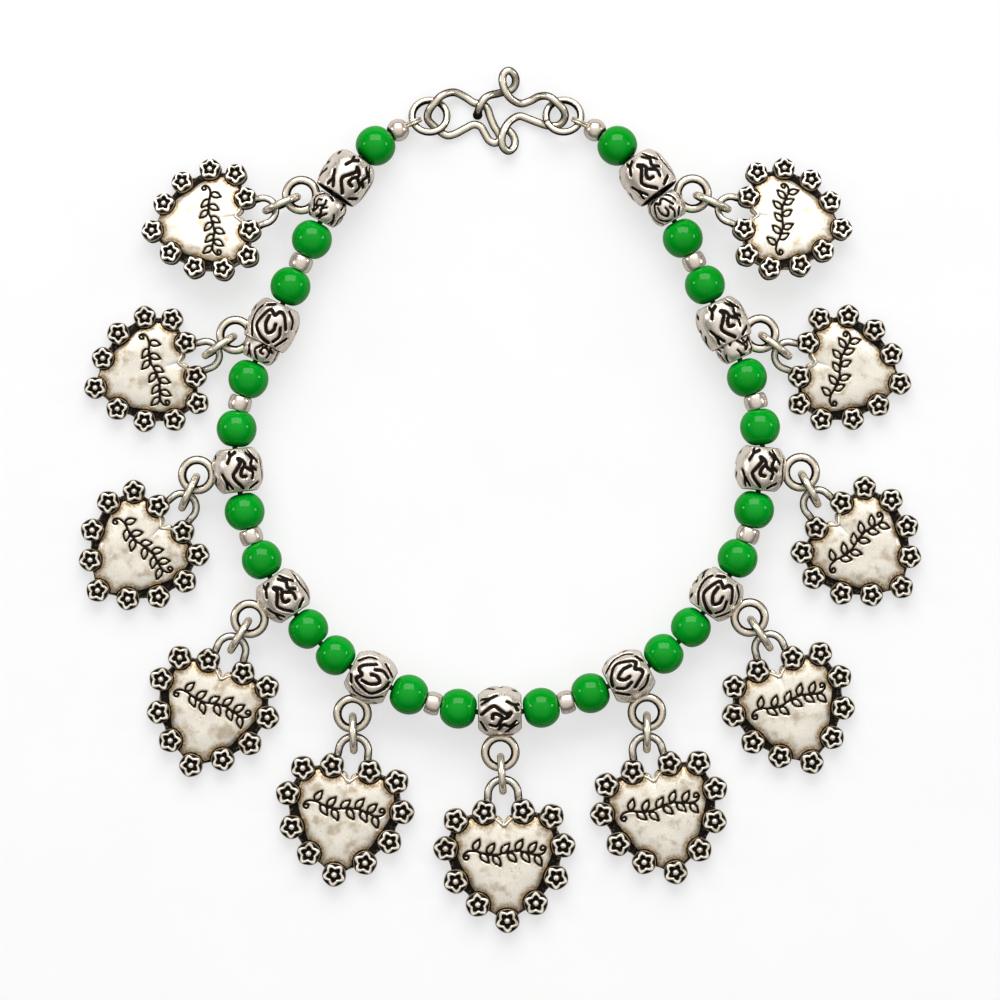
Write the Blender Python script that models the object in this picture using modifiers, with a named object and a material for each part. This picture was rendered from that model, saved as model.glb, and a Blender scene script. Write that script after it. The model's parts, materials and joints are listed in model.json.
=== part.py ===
"""Anklet of carved silver barrels, green beads and heart charms on one thread, closed by a wire hook and eye.

It lies on a flat surface at Z = 0, as it does when it is taken off. X runs across the anklet, Y towards the
clasp and Z up. The string is laid along a smooth route, and each bead is threaded on it by its own length.
Lengths are in metres and angles in degrees.
"""
import math

import bmesh
import bpy
import numpy as np
from mathutils import Matrix, Vector

COLLECTION_NAME = "anklet"

# Green beads, a little shorter along the thread than they are wide
GREEN_DIAMETER = 0.0060
GREEN_LENGTH = 0.0054
GREEN_HOLE_DIAMETER = 0.0014

# Thread, the gap that it leaves between two neighbours, and how far its bends are eased to either side
THREAD_DIAMETER = 0.0008
THREAD_GAP = 0.0003
THREAD_EASE = 0.0045

# Carved barrels
BARREL_DIAMETER = 0.0080
BARREL_END_DIAMETER = 0.0066
BARREL_LENGTH = 0.0065
BELLY_SHARE = 0.42

# The four barrels that take a bail bead have one end bored out wide
OPEN_END_DIAMETER = 0.0060
OPEN_END_DEPTH = 0.0020
OPEN_END_TAPER = 0.0002
NESTED_SHARE = 0.9

# Small carved bail beads
BAIL_BEAD_DIAMETER = 0.0056
BAIL_BEAD_END_DIAMETER = 0.0042
BAIL_BEAD_LENGTH = 0.0042

# Plain spacers, and the balls that end the string
SPACER_DIAMETER = 0.0035
SPACER_END_DIAMETER = 0.0025
SPACER_LENGTH = 0.0017
SPACER_BAND_SHARE = 0.35
END_BALL_DIAMETER = 0.0034
END_BALL_END_DIAMETER = 0.0022
END_BALL_LENGTH = 0.0026

# Bail rings, soldered flat to the side of a barrel or a bail bead
BAIL_OUTER_DIAMETER = 0.0058
BAIL_WIRE = 0.0013
BAIL_SINK_BARREL = 0.0008
BAIL_SINK_BEAD = 0.0013
BAIL_DROOP = 4.0

# Round jump links that stand on the surface
LINK_OUTER_DIAMETER = 0.0063
LINK_WIRE = 0.0011
LINK_CLEARANCE = 0.00022
FLOOR_GAP = 0.00005

# Cast heart charms, flat on the back
HEART_WIDTH = 0.0140
HEART_HEIGHT = 0.0127
HEART_EDGE_THICKNESS = 0.0017
HEART_DOME_THICKNESS = 0.0023
HEART_DOME_SHARE = 0.55
HEART_POINTS = 16
WEB_THICKNESS = 0.0012
FLOWER_DIAMETER = 0.0038
FLOWER_THICKNESS = 0.0028
FLOWER_CUP_DEPTH = 0.0007
PETALS = 5
CHARM_LOOP_DIAMETER = 0.0057
CHARM_LOOP_WIRE = 0.0012
CHARM_LOOP_DISTANCE = 0.0097
CHARM_LOOP_FOOT = 0.0081

# Rings and bent wires of the clasp
END_RING_DIAMETER = 0.0063
END_RING_WIRE = 0.0011
END_RING_TILT = 20.0
END_RING_HEIGHT = 0.00172
CLASP_TURN = 66.0
END_LOOP_PLAY = 0.00015
CLASP_WIRE = 0.0012
HOOK_TIP_DIAMETER = 0.0015

# Number of sides that round things are given
BEAD_SIDES = 10
GREEN_BANDS = 4
RING_SEGMENTS = 10
WIRE_SIDES = 5
THREAD_SIDES = 4
CLASP_SIDES = 6
CHARM_LOOP_BENDS = 6
CLASP_SEGMENT = 0.0012
ROUTE_STEP = 0.0002
FLAT_ANGLE = 0.01

# Unit of the route's x and y and of the charms' sag
TABLE_UNIT = 0.001

# Route of the string, from the clasp's left end round the bottom to its right end. Lift is 1 where the thread
# is as high as the middle of a barrel that stands on the surface, and 0 where it is as high as an end ball's.
ROUTE = [
    # x, y, lift
    (-15.7, 43.2, 0.18),
    (-19.2, 41.2, 0.72),
    (-23.1, 36.2, 1.15),
    (-28.1, 26.8, 1.02),
    (-31.3, 19.6, 1.00),
    (-34.1, 13.5, 1.00),
    (-37.6, 6.2, 1.00),
    (-39.5, -1.5, 1.00),
    (-37.9, -14.3, 1.00),
    (-35.2, -21.6, 1.00),
    (-28.3, -31.4, 1.00),
    (-24.1, -35.6, 1.00),
    (-13.8, -40.8, 1.00),
    (-6.1, -43.2, 1.00),
    (0.1, -43.6, 1.00),
    (6.2, -43.1, 1.00),
    (13.8, -40.7, 1.00),
    (24.3, -35.5, 1.00),
    (28.4, -31.3, 1.00),
    (35.2, -22.0, 1.00),
    (37.8, -15.3, 1.00),
    (39.5, -2.2, 1.00),
    (37.6, 5.6, 1.00),
    (34.2, 13.0, 1.00),
    (31.3, 19.2, 1.00),
    (28.1, 26.2, 1.02),
    (22.9, 35.7, 1.15),
    (18.9, 40.8, 0.72),
    (15.5, 42.9, 0.18),
]
ROUTE_MIDDLE = 14

# Pieces on each half of the string, from the centre barrel towards the clasp. Bare thread adds a second gap
# where the string bends most.
HALF_STRING = [
    "green", "spacer", "green", "barrel", "green", "green", "barrel", "green", "spacer", "green", "barrel",
    "green", "spacer", "green", "bail_bead_nested", "open_barrel", "green", "spacer", "green", "bail_bead",
    "open_barrel", "bare_thread", "green", "end_ball",
]
THREADED_LENGTH = {
    "green": GREEN_LENGTH,
    "spacer": SPACER_LENGTH,
    "barrel": BARREL_LENGTH,
    "open_barrel": BARREL_LENGTH,
    "bail_bead": BAIL_BEAD_LENGTH,
    "bail_bead_nested": BAIL_BEAD_LENGTH - NESTED_SHARE * OPEN_END_DEPTH,
    "end_ball": END_BALL_LENGTH,
    "bare_thread": 0.0,
}

# How each charm lies: which ring holds it, where its link and its heart point (0 is +X, 90 is +Y), how much
# the link sags, the size of its casting, and how far it leans along and across itself
CHARMS = [
    # name, side, ring number, link heading, heart heading, sag, casting size, lean along, lean across
    ("centre", 0, 0, -86.0, -88.5, 0.3, 1.000, 0.0, 0.0),
    ("left_1", -1, 1, -88.0, -99.4, 0.9, 0.985, 0.0, 0.0),
    ("right_1", 1, 1, -90.0, -77.3, 0.8, 0.985, 0.0, 0.0),
    ("left_2", -1, 2, -121.0, -109.8, 1.0, 0.960, 0.0, 0.0),
    ("right_2", 1, 2, -56.0, -70.0, 1.0, 0.960, 0.0, 0.0),
    ("left_3", -1, 3, -115.0, -135.9, 1.1, 0.935, 0.0, 0.0),
    ("right_3", 1, 3, -62.0, -45.0, 1.1, 0.935, 0.0, 0.0),
    ("left_4", -1, 4, -146.0, -164.0, 1.0, 0.910, 0.0, 0.0),
    ("right_4", 1, 4, -38.0, -14.4, 1.0, 0.910, 0.0, 0.0),
    ("left_5", -1, 5, -156.0, -170.8, 0.4, 0.890, 5.0, -14.0),
    ("right_5", 1, 5, -24.0, -9.7, 0.4, 0.890, 5.0, 14.0),
]

# Flowers round the heart, as shares of its half width and half height from its middle
FLOWER_PLACES = [
    # across, up
    (-0.41, 1.12),
    (0.41, 1.12),
    (1.03, 0.98),
    (1.26, 0.28),
    (1.09, -0.47),
    (0.64, -1.06),
    (0.02, -1.46),
    (-0.60, -1.06),
    (-1.06, -0.50),
    (-1.26, 0.28),
    (-1.03, 0.94),
]

# How far out the web reaches, as a share of the way to the flowers: at a flower, between two, at the cleft
WEB_AT_FLOWER = 0.93
WEB_BETWEEN = 0.90
WEB_AT_CLEFT = 0.56

# Bends of the clasp's wires: how far along the span from the wire's own ring, then across it and above the
# surface as shares of the wire's thickness
EYE_BENDS = [
    # along, across, height
    (-0.015, 0.10, 1.20),
    (0.000, 0.80, 1.60),
    (0.035, 1.55, 1.90),
    (0.090, 2.50, 1.95),
    (0.185, 3.00, 1.00),
    (0.265, 2.45, 0.55),
    (0.335, 1.70, 0.55),
    (0.395, 1.55, 0.55),
    (0.430, 1.05, 0.55),
    (0.450, 0.10, 0.55),
    (0.482, -1.20, 0.55),
    (0.518, -2.15, 0.55),
    (0.528, -2.85, 0.55),
    (0.490, -3.30, 0.55),
    (0.447, -3.00, 0.55),
    (0.413, -2.10, 0.55),
    (0.380, -1.25, 0.55),
    (0.330, -1.00, 0.55),
    (0.265, -1.50, 0.55),
    (0.190, -2.15, 0.55),
    (0.130, -2.35, 0.55),
    (0.070, -1.75, 0.58),
    (0.020, -1.00, 0.70),
    (-0.010, -0.45, 0.95),
]
HOOK_BENDS = [
    # along, across, height
    (0.641, 0.20, 0.72),
    (0.636, 0.60, 1.32),
    (0.624, 1.20, 1.84),
    (0.606, 1.80, 1.95),
    (0.580, 2.30, 1.80),
    (0.545, 2.62, 1.45),
    (0.500, 2.82, 0.92),
    (0.450, 3.05, 0.56),
    (0.400, 3.25, 0.56),
    (0.366, 3.80, 0.66),
    (0.356, 4.60, 1.00),
    (0.376, 5.40, 1.45),
    (0.410, 5.80, 1.72),
    (0.444, 5.35, 1.84),
    (0.456, 4.55, 1.86),
    (0.448, 3.75, 1.88),
    (0.430, 3.00, 1.86),
    (0.390, 2.15, 1.45),
    (0.318, 1.60, 0.80),
    (0.247, 1.95, 0.62),
    (0.185, 2.45, 1.00),
    (0.110, 2.40, 1.85),
    (0.045, 1.60, 1.95),
    (0.000, 0.75, 1.60),
    (-0.012, 0.10, 1.20),
    (0.000, -0.55, 0.85),
    (0.040, -1.10, 0.65),
    (0.110, -1.15, 0.55),
    (0.190, -0.75, 0.55),
    (0.260, -0.30, 0.55),
    (0.326, 0.05, 0.60),
    (0.380, -0.35, 1.00),
    (0.425, -1.15, 1.62),
    (0.452, -2.10, 1.95),
    (0.462, -3.05, 1.95),
    (0.450, -3.90, 1.75),
    (0.412, -4.35, 1.30),
    (0.374, -3.90, 0.90),
    (0.362, -3.10, 0.62),
    (0.378, -2.30, 0.56),
    (0.408, -1.75, 0.56),
]

SILVER = ("antique_silver", (0.62, 0.57, 0.50, 1.0), 0.30, 1.0)
HEART_SILVER = ("heart_silver", (0.72, 0.67, 0.58, 1.0), 0.35, 1.0)
WIRE_SILVER = ("wire_silver", (0.66, 0.62, 0.54, 1.0), 0.25, 1.0)
GREEN = ("green_glass", (0.005, 0.38, 0.03, 1.0), 0.08, 0.0)


def remove_everything():
    """Empty the scene, one object at a time."""
    for thing in list(bpy.data.objects):
        bpy.data.objects.remove(thing, do_unlink=True)


def make_collection(name):
    """Return a new collection that is linked to the scene."""
    collection = bpy.data.collections.new(name)
    bpy.context.scene.collection.children.link(collection)
    return collection


def make_material(finish):
    """Return a Principled material with one colour, roughness and metallic value."""
    name, colour, roughness, metallic = finish
    material = bpy.data.materials.new(name)
    material.use_nodes = True
    shader = material.node_tree.nodes["Principled BSDF"]
    shader.inputs["Base Color"].default_value = colour
    shader.inputs["Roughness"].default_value = roughness
    shader.inputs["Metallic"].default_value = metallic
    material.diffuse_color = colour
    return material


def place_object(name, mesh, collection, parent=None, matrix=None):
    """Add an object that shows a mesh at a place in the anklet's frame."""
    thing = bpy.data.objects.new(name, mesh)
    collection.objects.link(thing)
    if parent is not None:
        thing.parent = parent
    if matrix is not None:
        thing.matrix_local = matrix
    return thing


def settle_mesh(source, name):
    """Turn an object with its modifiers, or a curve, into a plain mesh and remove the object."""
    bpy.context.view_layer.update()
    depsgraph = bpy.context.evaluated_depsgraph_get()
    mesh = bpy.data.meshes.new_from_object(source.evaluated_get(depsgraph))
    mesh.transform(source.matrix_world)
    mesh.name = name
    work = bmesh.new()
    work.from_mesh(mesh)
    bmesh.ops.remove_doubles(work, verts=work.verts, dist=1e-6)
    work.to_mesh(mesh)
    work.free()
    bpy.data.objects.remove(source, do_unlink=True)
    return mesh


def turned_mesh(name, profile, sides):
    """Turn a profile of (radius, height) points, listed from top to bottom, about the Z axis."""
    mesh = bpy.data.meshes.new(name)
    points = [(radius, 0.0, height) for radius, height in profile]
    edges = [(i, i + 1) for i in range(len(points) - 1)]
    mesh.from_pydata(points, edges, [])
    thing = place_object(name, mesh, workshop)
    screw = thing.modifiers.new("turn", "SCREW")
    screw.steps = sides
    screw.render_steps = sides
    screw.use_merge_vertices = True
    screw.merge_threshold = 1e-6
    screw.use_smooth_shade = True
    return settle_mesh(thing, name)


def ring_mesh(name, outer_diameter, wire, matrix=None):
    """Return a ring of round wire about the Z axis, or carried by a matrix."""
    bpy.ops.mesh.primitive_torus_add(
        major_segments=RING_SEGMENTS,
        minor_segments=WIRE_SIDES,
        major_radius=(outer_diameter - wire) / 2,
        minor_radius=wire / 2,
    )
    thing = bpy.context.object
    if matrix is not None:
        thing.matrix_world = matrix
    return settle_mesh(thing, name)


def united_mesh(name, first, others):
    """Return the union of a mesh with others, each added in turn, with its flat faces made whole again."""
    result = first
    for mesh in others:
        base = place_object(name, result, workshop)
        cutter = place_object(f"{name}_addition", mesh, workshop)
        cutter.hide_render = True
        cutter.display_type = "WIRE"
        union = base.modifiers.new("add", "BOOLEAN")
        union.operation = "UNION"
        union.solver = "EXACT"
        union.use_self = True
        union.object = cutter
        result = settle_mesh(base, name)
        bpy.data.objects.remove(cutter, do_unlink=True)
    work = bmesh.new()
    work.from_mesh(result)
    bmesh.ops.dissolve_limit(work, angle_limit=FLAT_ANGLE, verts=work.verts, edges=work.edges)
    work.to_mesh(result)
    work.free()
    return result


def joined_mesh(name, meshes_and_places):
    """Gather copies of meshes that don't touch into one mesh."""
    work = bmesh.new()
    for mesh, matrix in meshes_and_places:
        copy = mesh.copy()
        copy.transform(matrix)
        work.from_mesh(copy)
        bpy.data.meshes.remove(copy)
    result = bpy.data.meshes.new(name)
    work.to_mesh(result)
    work.free()
    return result


def wire_mesh(name, points, wire, closed, sides):
    """Return a round wire along a list of points."""
    curve = bpy.data.curves.new(name, "CURVE")
    curve.dimensions = "3D"
    curve.bevel_depth = wire / 2
    curve.bevel_resolution = (sides - 4) // 2
    curve.use_fill_caps = not closed
    spline = curve.splines.new("POLY")
    spline.points.add(len(points) - 1)
    for target, point in zip(spline.points, points):
        target.co = (point[0], point[1], point[2], 1.0)
    spline.use_cyclic_u = closed
    thing = place_object(name, curve, workshop)
    return settle_mesh(thing, name)


def smooth_curve(points, closed, step):
    """Return points a step apart on a centripetal Catmull-Rom curve through the given points."""
    points = np.array(points, dtype=float)
    count = len(points)
    if closed:
        padded = np.vstack([points[-1:], points, points[:2]])
        spans = count
    else:
        padded = np.vstack([2 * points[0] - points[1], points, 2 * points[-1] - points[-2]])
        spans = count - 1
    dense = []
    for i in range(spans):
        p0, p1, p2, p3 = padded[i:i + 4]
        t1 = np.linalg.norm(p1 - p0) ** 0.5
        t2 = t1 + np.linalg.norm(p2 - p1) ** 0.5
        t3 = t2 + np.linalg.norm(p3 - p2) ** 0.5
        for t in np.linspace(t1, t2, 24, endpoint=False):
            a1 = (p0 * (t1 - t) + p1 * t) / t1
            a2 = (p1 * (t2 - t) + p2 * (t - t1)) / (t2 - t1)
            a3 = (p2 * (t3 - t) + p3 * (t - t2)) / (t3 - t2)
            b1 = (a1 * (t2 - t) + a2 * t) / t2
            b2 = (a2 * (t3 - t) + a3 * (t - t1)) / (t3 - t1)
            dense.append((b1 * (t2 - t) + b2 * (t - t1)) / (t2 - t1))
    dense.append(points[0] if closed else points[-1])
    dense = np.array(dense)
    along = np.concatenate([[0.0], np.cumsum(np.linalg.norm(np.diff(dense, axis=0), axis=1))])
    steps = max(8, round(along[-1] / step))
    marks = np.linspace(0.0, along[-1], steps + 1)
    even = np.column_stack([np.interp(marks, along, dense[:, k]) for k in range(3)])
    return even[:-1] if closed else even


class StringRoute:
    """The thread's smooth route, read by the length of string from the centre barrel's middle."""

    def __init__(self):
        barrel_height = BARREL_DIAMETER / 2
        end_height = END_BALL_DIAMETER / 2
        rise = barrel_height - end_height
        points = [(x * TABLE_UNIT, y * TABLE_UNIT, end_height + lift * rise) for x, y, lift in ROUTE]
        self.points = self.eased(smooth_curve(points, False, ROUTE_STEP))
        steps = np.linalg.norm(np.diff(self.points, axis=0), axis=1)
        self.along = np.concatenate([[0.0], np.cumsum(steps)])
        middle = np.array(points[ROUTE_MIDDLE])
        nearest = np.argmin(np.linalg.norm(self.points - middle, axis=1))
        self.centre = self.along[nearest]
        self.start_direction = Vector(self.points[0] - self.points[1]).normalized()
        self.end_direction = Vector(self.points[-1] - self.points[-2]).normalized()

    @staticmethod
    def eased(points):
        """Average each point with its neighbours to either side, as a thread under light pull lies."""
        reach = round(THREAD_EASE / ROUTE_STEP)
        before = 2 * points[0] - points[reach:0:-1]
        after = 2 * points[-1] - points[-2:-reach - 2:-1]
        padded = np.vstack([before, points, after])
        weights = np.full(2 * reach + 1, 1 / (2 * reach + 1))
        return np.column_stack([np.convolve(padded[:, k], weights, "valid") for k in range(3)])

    def at(self, length):
        """Return the point a length of string from the centre, negative on the left. It runs on straight."""
        place = self.centre + length
        if place < 0:
            return Vector(self.points[0]) + self.start_direction * -place
        if place > self.along[-1]:
            return Vector(self.points[-1]) + self.end_direction * (place - self.along[-1])
        return Vector([np.interp(place, self.along, self.points[:, k]) for k in range(3)])


def frame_matrix(origin, x_axis, y_axis, z_axis):
    """Return the matrix that carries the local axes to the given ones."""
    turn = Matrix((x_axis, y_axis, z_axis)).transposed()
    return Matrix.Translation(origin) @ turn.to_4x4()


def heading(angle):
    """Return the level unit vector that points at an angle from +X towards +Y."""
    return Vector((math.cos(math.radians(angle)), math.sin(math.radians(angle)), 0.0))


def barrel_profile(length, diameter, end_diameter):
    """Return a barrel's profile from top to bottom, bulging as a parabola between two flat ends."""
    half = length / 2
    shares = (1.0, BELLY_SHARE, -BELLY_SHARE, -1.0)
    belly = [((diameter - (diameter - end_diameter) * s * s) / 2, half * s) for s in shares]
    return [(0.0, half)] + belly + [(0.0, -half)]


def open_barrel_profile():
    """Return the profile of a barrel whose lower end is bored out wide, a little narrower at its floor."""
    profile = barrel_profile(BARREL_LENGTH, BARREL_DIAMETER, BARREL_END_DIAMETER)
    floor = OPEN_END_DEPTH - BARREL_LENGTH / 2
    bore = OPEN_END_DIAMETER / 2
    return profile[:-1] + [(bore, -BARREL_LENGTH / 2), (bore - OPEN_END_TAPER, floor), (0.0, floor)]


def spacer_profile():
    """Return a spacer's profile: a band in the middle that narrows towards its two lips."""
    lip = SPACER_LENGTH / 2
    band = lip * SPACER_BAND_SHARE
    upper = [(0.0, lip), (SPACER_END_DIAMETER / 2, lip), (SPACER_DIAMETER / 2, band)]
    return upper + [(radius, -height) for radius, height in reversed(upper)]


def green_bead_mesh():
    """Return a drilled bead: an ellipse turned about its hole."""
    radius = GREEN_DIAMETER / 2
    hole = GREEN_HOLE_DIAMETER / 2
    edge_angle = math.asin(hole / radius)
    pole = GREEN_LENGTH / 2 / math.cos(edge_angle)
    angles = np.linspace(edge_angle, math.pi - edge_angle, GREEN_BANDS + 1)
    outside = [(radius * math.sin(a), pole * math.cos(a)) for a in angles]
    return turned_mesh("green_bead", outside + [outside[0]], BEAD_SIDES)


def bail_reach(kind):
    """Return how far a bail ring's middle lies from the axis of the barrel or bead that it is soldered to."""
    if kind == "barrel":
        return (BARREL_DIAMETER + BAIL_OUTER_DIAMETER) / 2 - BAIL_SINK_BARREL
    return (BAIL_BEAD_DIAMETER + BAIL_OUTER_DIAMETER) / 2 - BAIL_SINK_BEAD


def bail_ring_mesh(kind):
    """Return a bail ring on the +X side of a body that is threaded along Z."""
    lying_flat = Matrix.Rotation(math.radians(90), 4, "X")
    place = Matrix.Translation((bail_reach(kind), 0.0, 0.0)) @ lying_flat
    return ring_mesh("bail_ring", BAIL_OUTER_DIAMETER, BAIL_WIRE, place)


def silver_meshes():
    """Return the meshes of the metal pieces that are threaded along Z, each made once."""
    plain = barrel_profile(BARREL_LENGTH, BARREL_DIAMETER, BARREL_END_DIAMETER)
    bead = barrel_profile(BAIL_BEAD_LENGTH, BAIL_BEAD_DIAMETER, BAIL_BEAD_END_DIAMETER)
    ball = barrel_profile(END_BALL_LENGTH, END_BALL_DIAMETER, END_BALL_END_DIAMETER)
    barrel = turned_mesh("barrel_body", plain, BEAD_SIDES)
    bail_bead = turned_mesh("bail_bead_body", bead, BEAD_SIDES)
    ringed_bead = united_mesh("bail_bead", bail_bead, [bail_ring_mesh("bail_bead")])
    return {
        "barrel": united_mesh("barrel", barrel, [bail_ring_mesh("barrel")]),
        "open_barrel": turned_mesh("open_barrel", open_barrel_profile(), BEAD_SIDES),
        "bail_bead": ringed_bead,
        "bail_bead_nested": ringed_bead,
        "spacer": turned_mesh("spacer", spacer_profile(), BEAD_SIDES),
        "end_ball": turned_mesh("end_ball", ball, BEAD_SIDES),
    }


def thread_pieces(route):
    """Thread the string by length: return rows of (kind, side, place), the thread's joints and the bail rings."""
    pieces = []
    joints = {}
    rings = []
    for side in (-1, 1):
        reached = BARREL_LENGTH / 2 + THREAD_GAP / 2
        stops = [side * reached]
        ring_number = 1
        for kind in HALF_STRING:
            near = reached
            reached += THREADED_LENGTH[kind] + THREAD_GAP
            middle = (near + reached) / 2
            if kind == "bail_bead_nested":
                middle = near + THREAD_GAP / 2 + BAIL_BEAD_LENGTH / 2
            place = threaded_place(route, side * near, side * reached, side * middle, side)
            pieces.append((kind, side, place))
            stops.append(side * reached)
            if kind in ("barrel", "bail_bead", "bail_bead_nested"):
                rings.append((side, ring_number, kind, place))
                ring_number += 1
        joints[side] = [route.at(stop) for stop in stops]
    half = BARREL_LENGTH / 2 + THREAD_GAP / 2
    centre = threaded_place(route, -half, half, 0.0, 1)
    pieces.append(("barrel", 0, centre))
    rings.append((0, 0, "barrel", centre))
    return pieces, joints, rings


def threaded_place(route, start, stop, middle, side):
    """Return the matrix of a piece on the thread: local Z leads to the clasp and local X out of the loop."""
    low = route.at(start)
    high = route.at(stop)
    forward = (high - low).normalized()
    share = (middle - start) / (stop - start)
    origin = low.lerp(high, share)
    outward = Vector((forward.y * side, -forward.x * side, 0.0)).normalized()
    drooped = Matrix.Rotation(math.radians(BAIL_DROOP) * side, 3, forward) @ outward
    return frame_matrix(origin, drooped, forward.cross(drooped), forward)


def heart_outline(width, height, count):
    """Return points of a heart, (16 sin^3 t, 13 cos t - 5 cos 2t - 2 cos 3t - cos 4t), scaled to a size."""
    points = []
    for i in range(count):
        t = 2 * math.pi * i / count
        across = 16 * math.sin(t) ** 3 / 32
        up = (13 * math.cos(t) - 5 * math.cos(2 * t) - 2 * math.cos(3 * t) - math.cos(4 * t) + 2.5) / 29
        points.append((across * width, up * height))
    return points


def web_outline():
    """Return the web's outline, clockwise from the cleft: out to each flower and in between them."""
    spots = [(across * HEART_WIDTH / 2, up * HEART_HEIGHT / 2) for across, up in FLOWER_PLACES]
    points = []
    for number, spot in enumerate(spots):
        before = spots[number - 1]
        share = WEB_AT_CLEFT if number == 1 else WEB_BETWEEN
        points.append(((before[0] + spot[0]) / 2 * share, (before[1] + spot[1]) / 2 * share))
        points.append((spot[0] * WEB_AT_FLOWER, spot[1] * WEB_AT_FLOWER))
    return points[2:] + points[:2]


def lofted_mesh(name, sections):
    """Loft a solid through (outline, height) sections that have the same number of points."""
    count = len(sections[0][0])
    work = bmesh.new()
    rings = [[work.verts.new((x, y, level)) for x, y in outline] for outline, level in sections]
    for low, high in zip(rings, rings[1:]):
        for i in range(count):
            j = (i + 1) % count
            work.faces.new((low[j], low[i], high[i], high[j]))
    work.faces.new(rings[0])
    work.faces.new(list(reversed(rings[-1])))
    bmesh.ops.recalc_face_normals(work, faces=work.faces)
    mesh = bpy.data.meshes.new(name)
    work.to_mesh(mesh)
    work.free()
    return mesh


def heart_mesh():
    """Return the domed heart plate, flat on its back."""
    edge = heart_outline(HEART_WIDTH, HEART_HEIGHT, HEART_POINTS)
    dome = heart_outline(HEART_WIDTH * HEART_DOME_SHARE, HEART_HEIGHT * HEART_DOME_SHARE, HEART_POINTS)
    return lofted_mesh("heart", [(edge, 0.0), (edge, HEART_EDGE_THICKNESS), (dome, HEART_DOME_THICKNESS)])


def flower_mesh():
    """Return one flower: a post with a corner for each of its five petals and a cupped top."""
    work = bmesh.new()
    radius = FLOWER_DIAMETER / 2
    corners = [heading(90.0 + 360.0 * i / PETALS) * radius for i in range(PETALS)]
    foot = [work.verts.new(corner) for corner in corners]
    rim = [work.verts.new((corner.x, corner.y, FLOWER_THICKNESS)) for corner in corners]
    cup = work.verts.new((0.0, 0.0, FLOWER_THICKNESS - FLOWER_CUP_DEPTH))
    work.faces.new(list(reversed(foot)))
    for i in range(PETALS):
        j = (i + 1) % PETALS
        work.faces.new((foot[i], foot[j], rim[j], rim[i]))
        work.faces.new((rim[i], rim[j], cup))
    mesh = bpy.data.meshes.new("flower")
    work.to_mesh(mesh)
    work.free()
    return mesh


def heart_charm_mesh():
    """Return the charm as cast, flat on its back at Z = 0, with its loop towards +Y."""
    flowers = []
    flower = flower_mesh()
    for across, up in FLOWER_PLACES:
        spot = Vector((across * HEART_WIDTH / 2, up * HEART_HEIGHT / 2, 0.0))
        outward = math.atan2(spot.y, spot.x) - math.pi / 2
        flowers.append((flower, Matrix.Translation(spot) @ Matrix.Rotation(outward, 4, "Z")))
    loop = wire_mesh("charm_loop", charm_loop_points(), CHARM_LOOP_WIRE, False, CLASP_SIDES)
    outline = web_outline()
    web = lofted_mesh("web", [(outline, 0.0), (outline, WEB_THICKNESS)])
    return united_mesh("heart_charm", web, [heart_mesh(), joined_mesh("flowers", flowers), loop])


def charm_loop_points():
    """Return the middle line of the charm's loop: an arch whose feet are cast to the two upper flowers."""
    radius = (CHARM_LOOP_DIAMETER - CHARM_LOOP_WIRE) / 2
    height = charm_loop_height()
    bend = []
    for i in range(CHARM_LOOP_BENDS + 1):
        way = heading(180.0 * i / CHARM_LOOP_BENDS) * radius
        bend.append((way.x, CHARM_LOOP_DISTANCE + way.y, height))
    return [(radius, CHARM_LOOP_FOOT, height)] + bend + [(-radius, CHARM_LOOP_FOOT, height)]


def charm_loop_height():
    """Return how high the loop is cast above the back: a link on the floor passes under the smallest one."""
    smallest = min(row[6] for row in CHARMS)
    return (FLOOR_GAP + LINK_WIRE + LINK_CLEARANCE) / smallest + CHARM_LOOP_WIRE / 2


def chain_reach(offset):
    """Return how far from a link's middle its wire runs, at a height above or below that middle."""
    radius = (LINK_OUTER_DIAMETER - LINK_WIRE) / 2
    return math.sqrt(radius * radius - offset * offset)


def hang_charm(row, ring_rows, charm_mesh):
    """Return the places of one charm and of its link, which goes through the bail ring and the loop."""
    name, side, number, link_angle, heart_angle, sag_units, size, lean_along, lean_across = row
    sag = sag_units * TABLE_UNIT
    kind, ring_place = next((k, p) for s, n, k, p in ring_rows if (s, n) == (side, number))
    ring_middle = ring_place @ Vector((bail_reach(kind), 0.0, 0.0))
    ring_play = BAIL_OUTER_DIAMETER / 2 - BAIL_WIRE - LINK_WIRE / 2 - LINK_CLEARANCE
    loop_play = size * (CHARM_LOOP_DIAMETER / 2 - CHARM_LOOP_WIRE) - LINK_WIRE / 2 - LINK_CLEARANCE

    turn = Matrix.Rotation(math.radians(heart_angle + 90.0), 3, "Z")
    tipped = Matrix.Rotation(math.radians(lean_along), 3, "X")
    rolled = Matrix.Rotation(math.radians(lean_across), 3, "Y")
    attitude = (turn @ tipped @ rolled).to_4x4() @ Matrix.Scale(size, 4)
    loop_local = Vector((0.0, CHARM_LOOP_DISTANCE, charm_loop_height()))
    lowest = min((attitude @ vertex.co).z for vertex in charm_mesh.vertices)
    loop_height = (attitude @ loop_local).z - lowest

    up = Vector((0.0, 0.0, 1.0))
    level_link = LINK_OUTER_DIAMETER / 2 + FLOOR_GAP
    link_height = max(level_link, (ring_middle.z + loop_height) / 2)
    link_heading = heading(link_angle)
    entry = ring_middle + link_heading * (ring_play - sag / 2)
    link_middle = entry + link_heading * chain_reach(entry.z - link_height)
    link_middle.z = link_height
    exit_point = link_middle + link_heading * chain_reach(loop_height - link_height)
    loop_middle = exit_point + heading(heart_angle) * (loop_play - sag / 2)
    loop_middle.z = loop_height
    offset = attitude.to_3x3() @ loop_local
    charm_place = Matrix.Translation(loop_middle - offset) @ attitude
    link_place = frame_matrix(link_middle, link_heading, up, link_heading.cross(up))
    return link_place, charm_place


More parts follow.
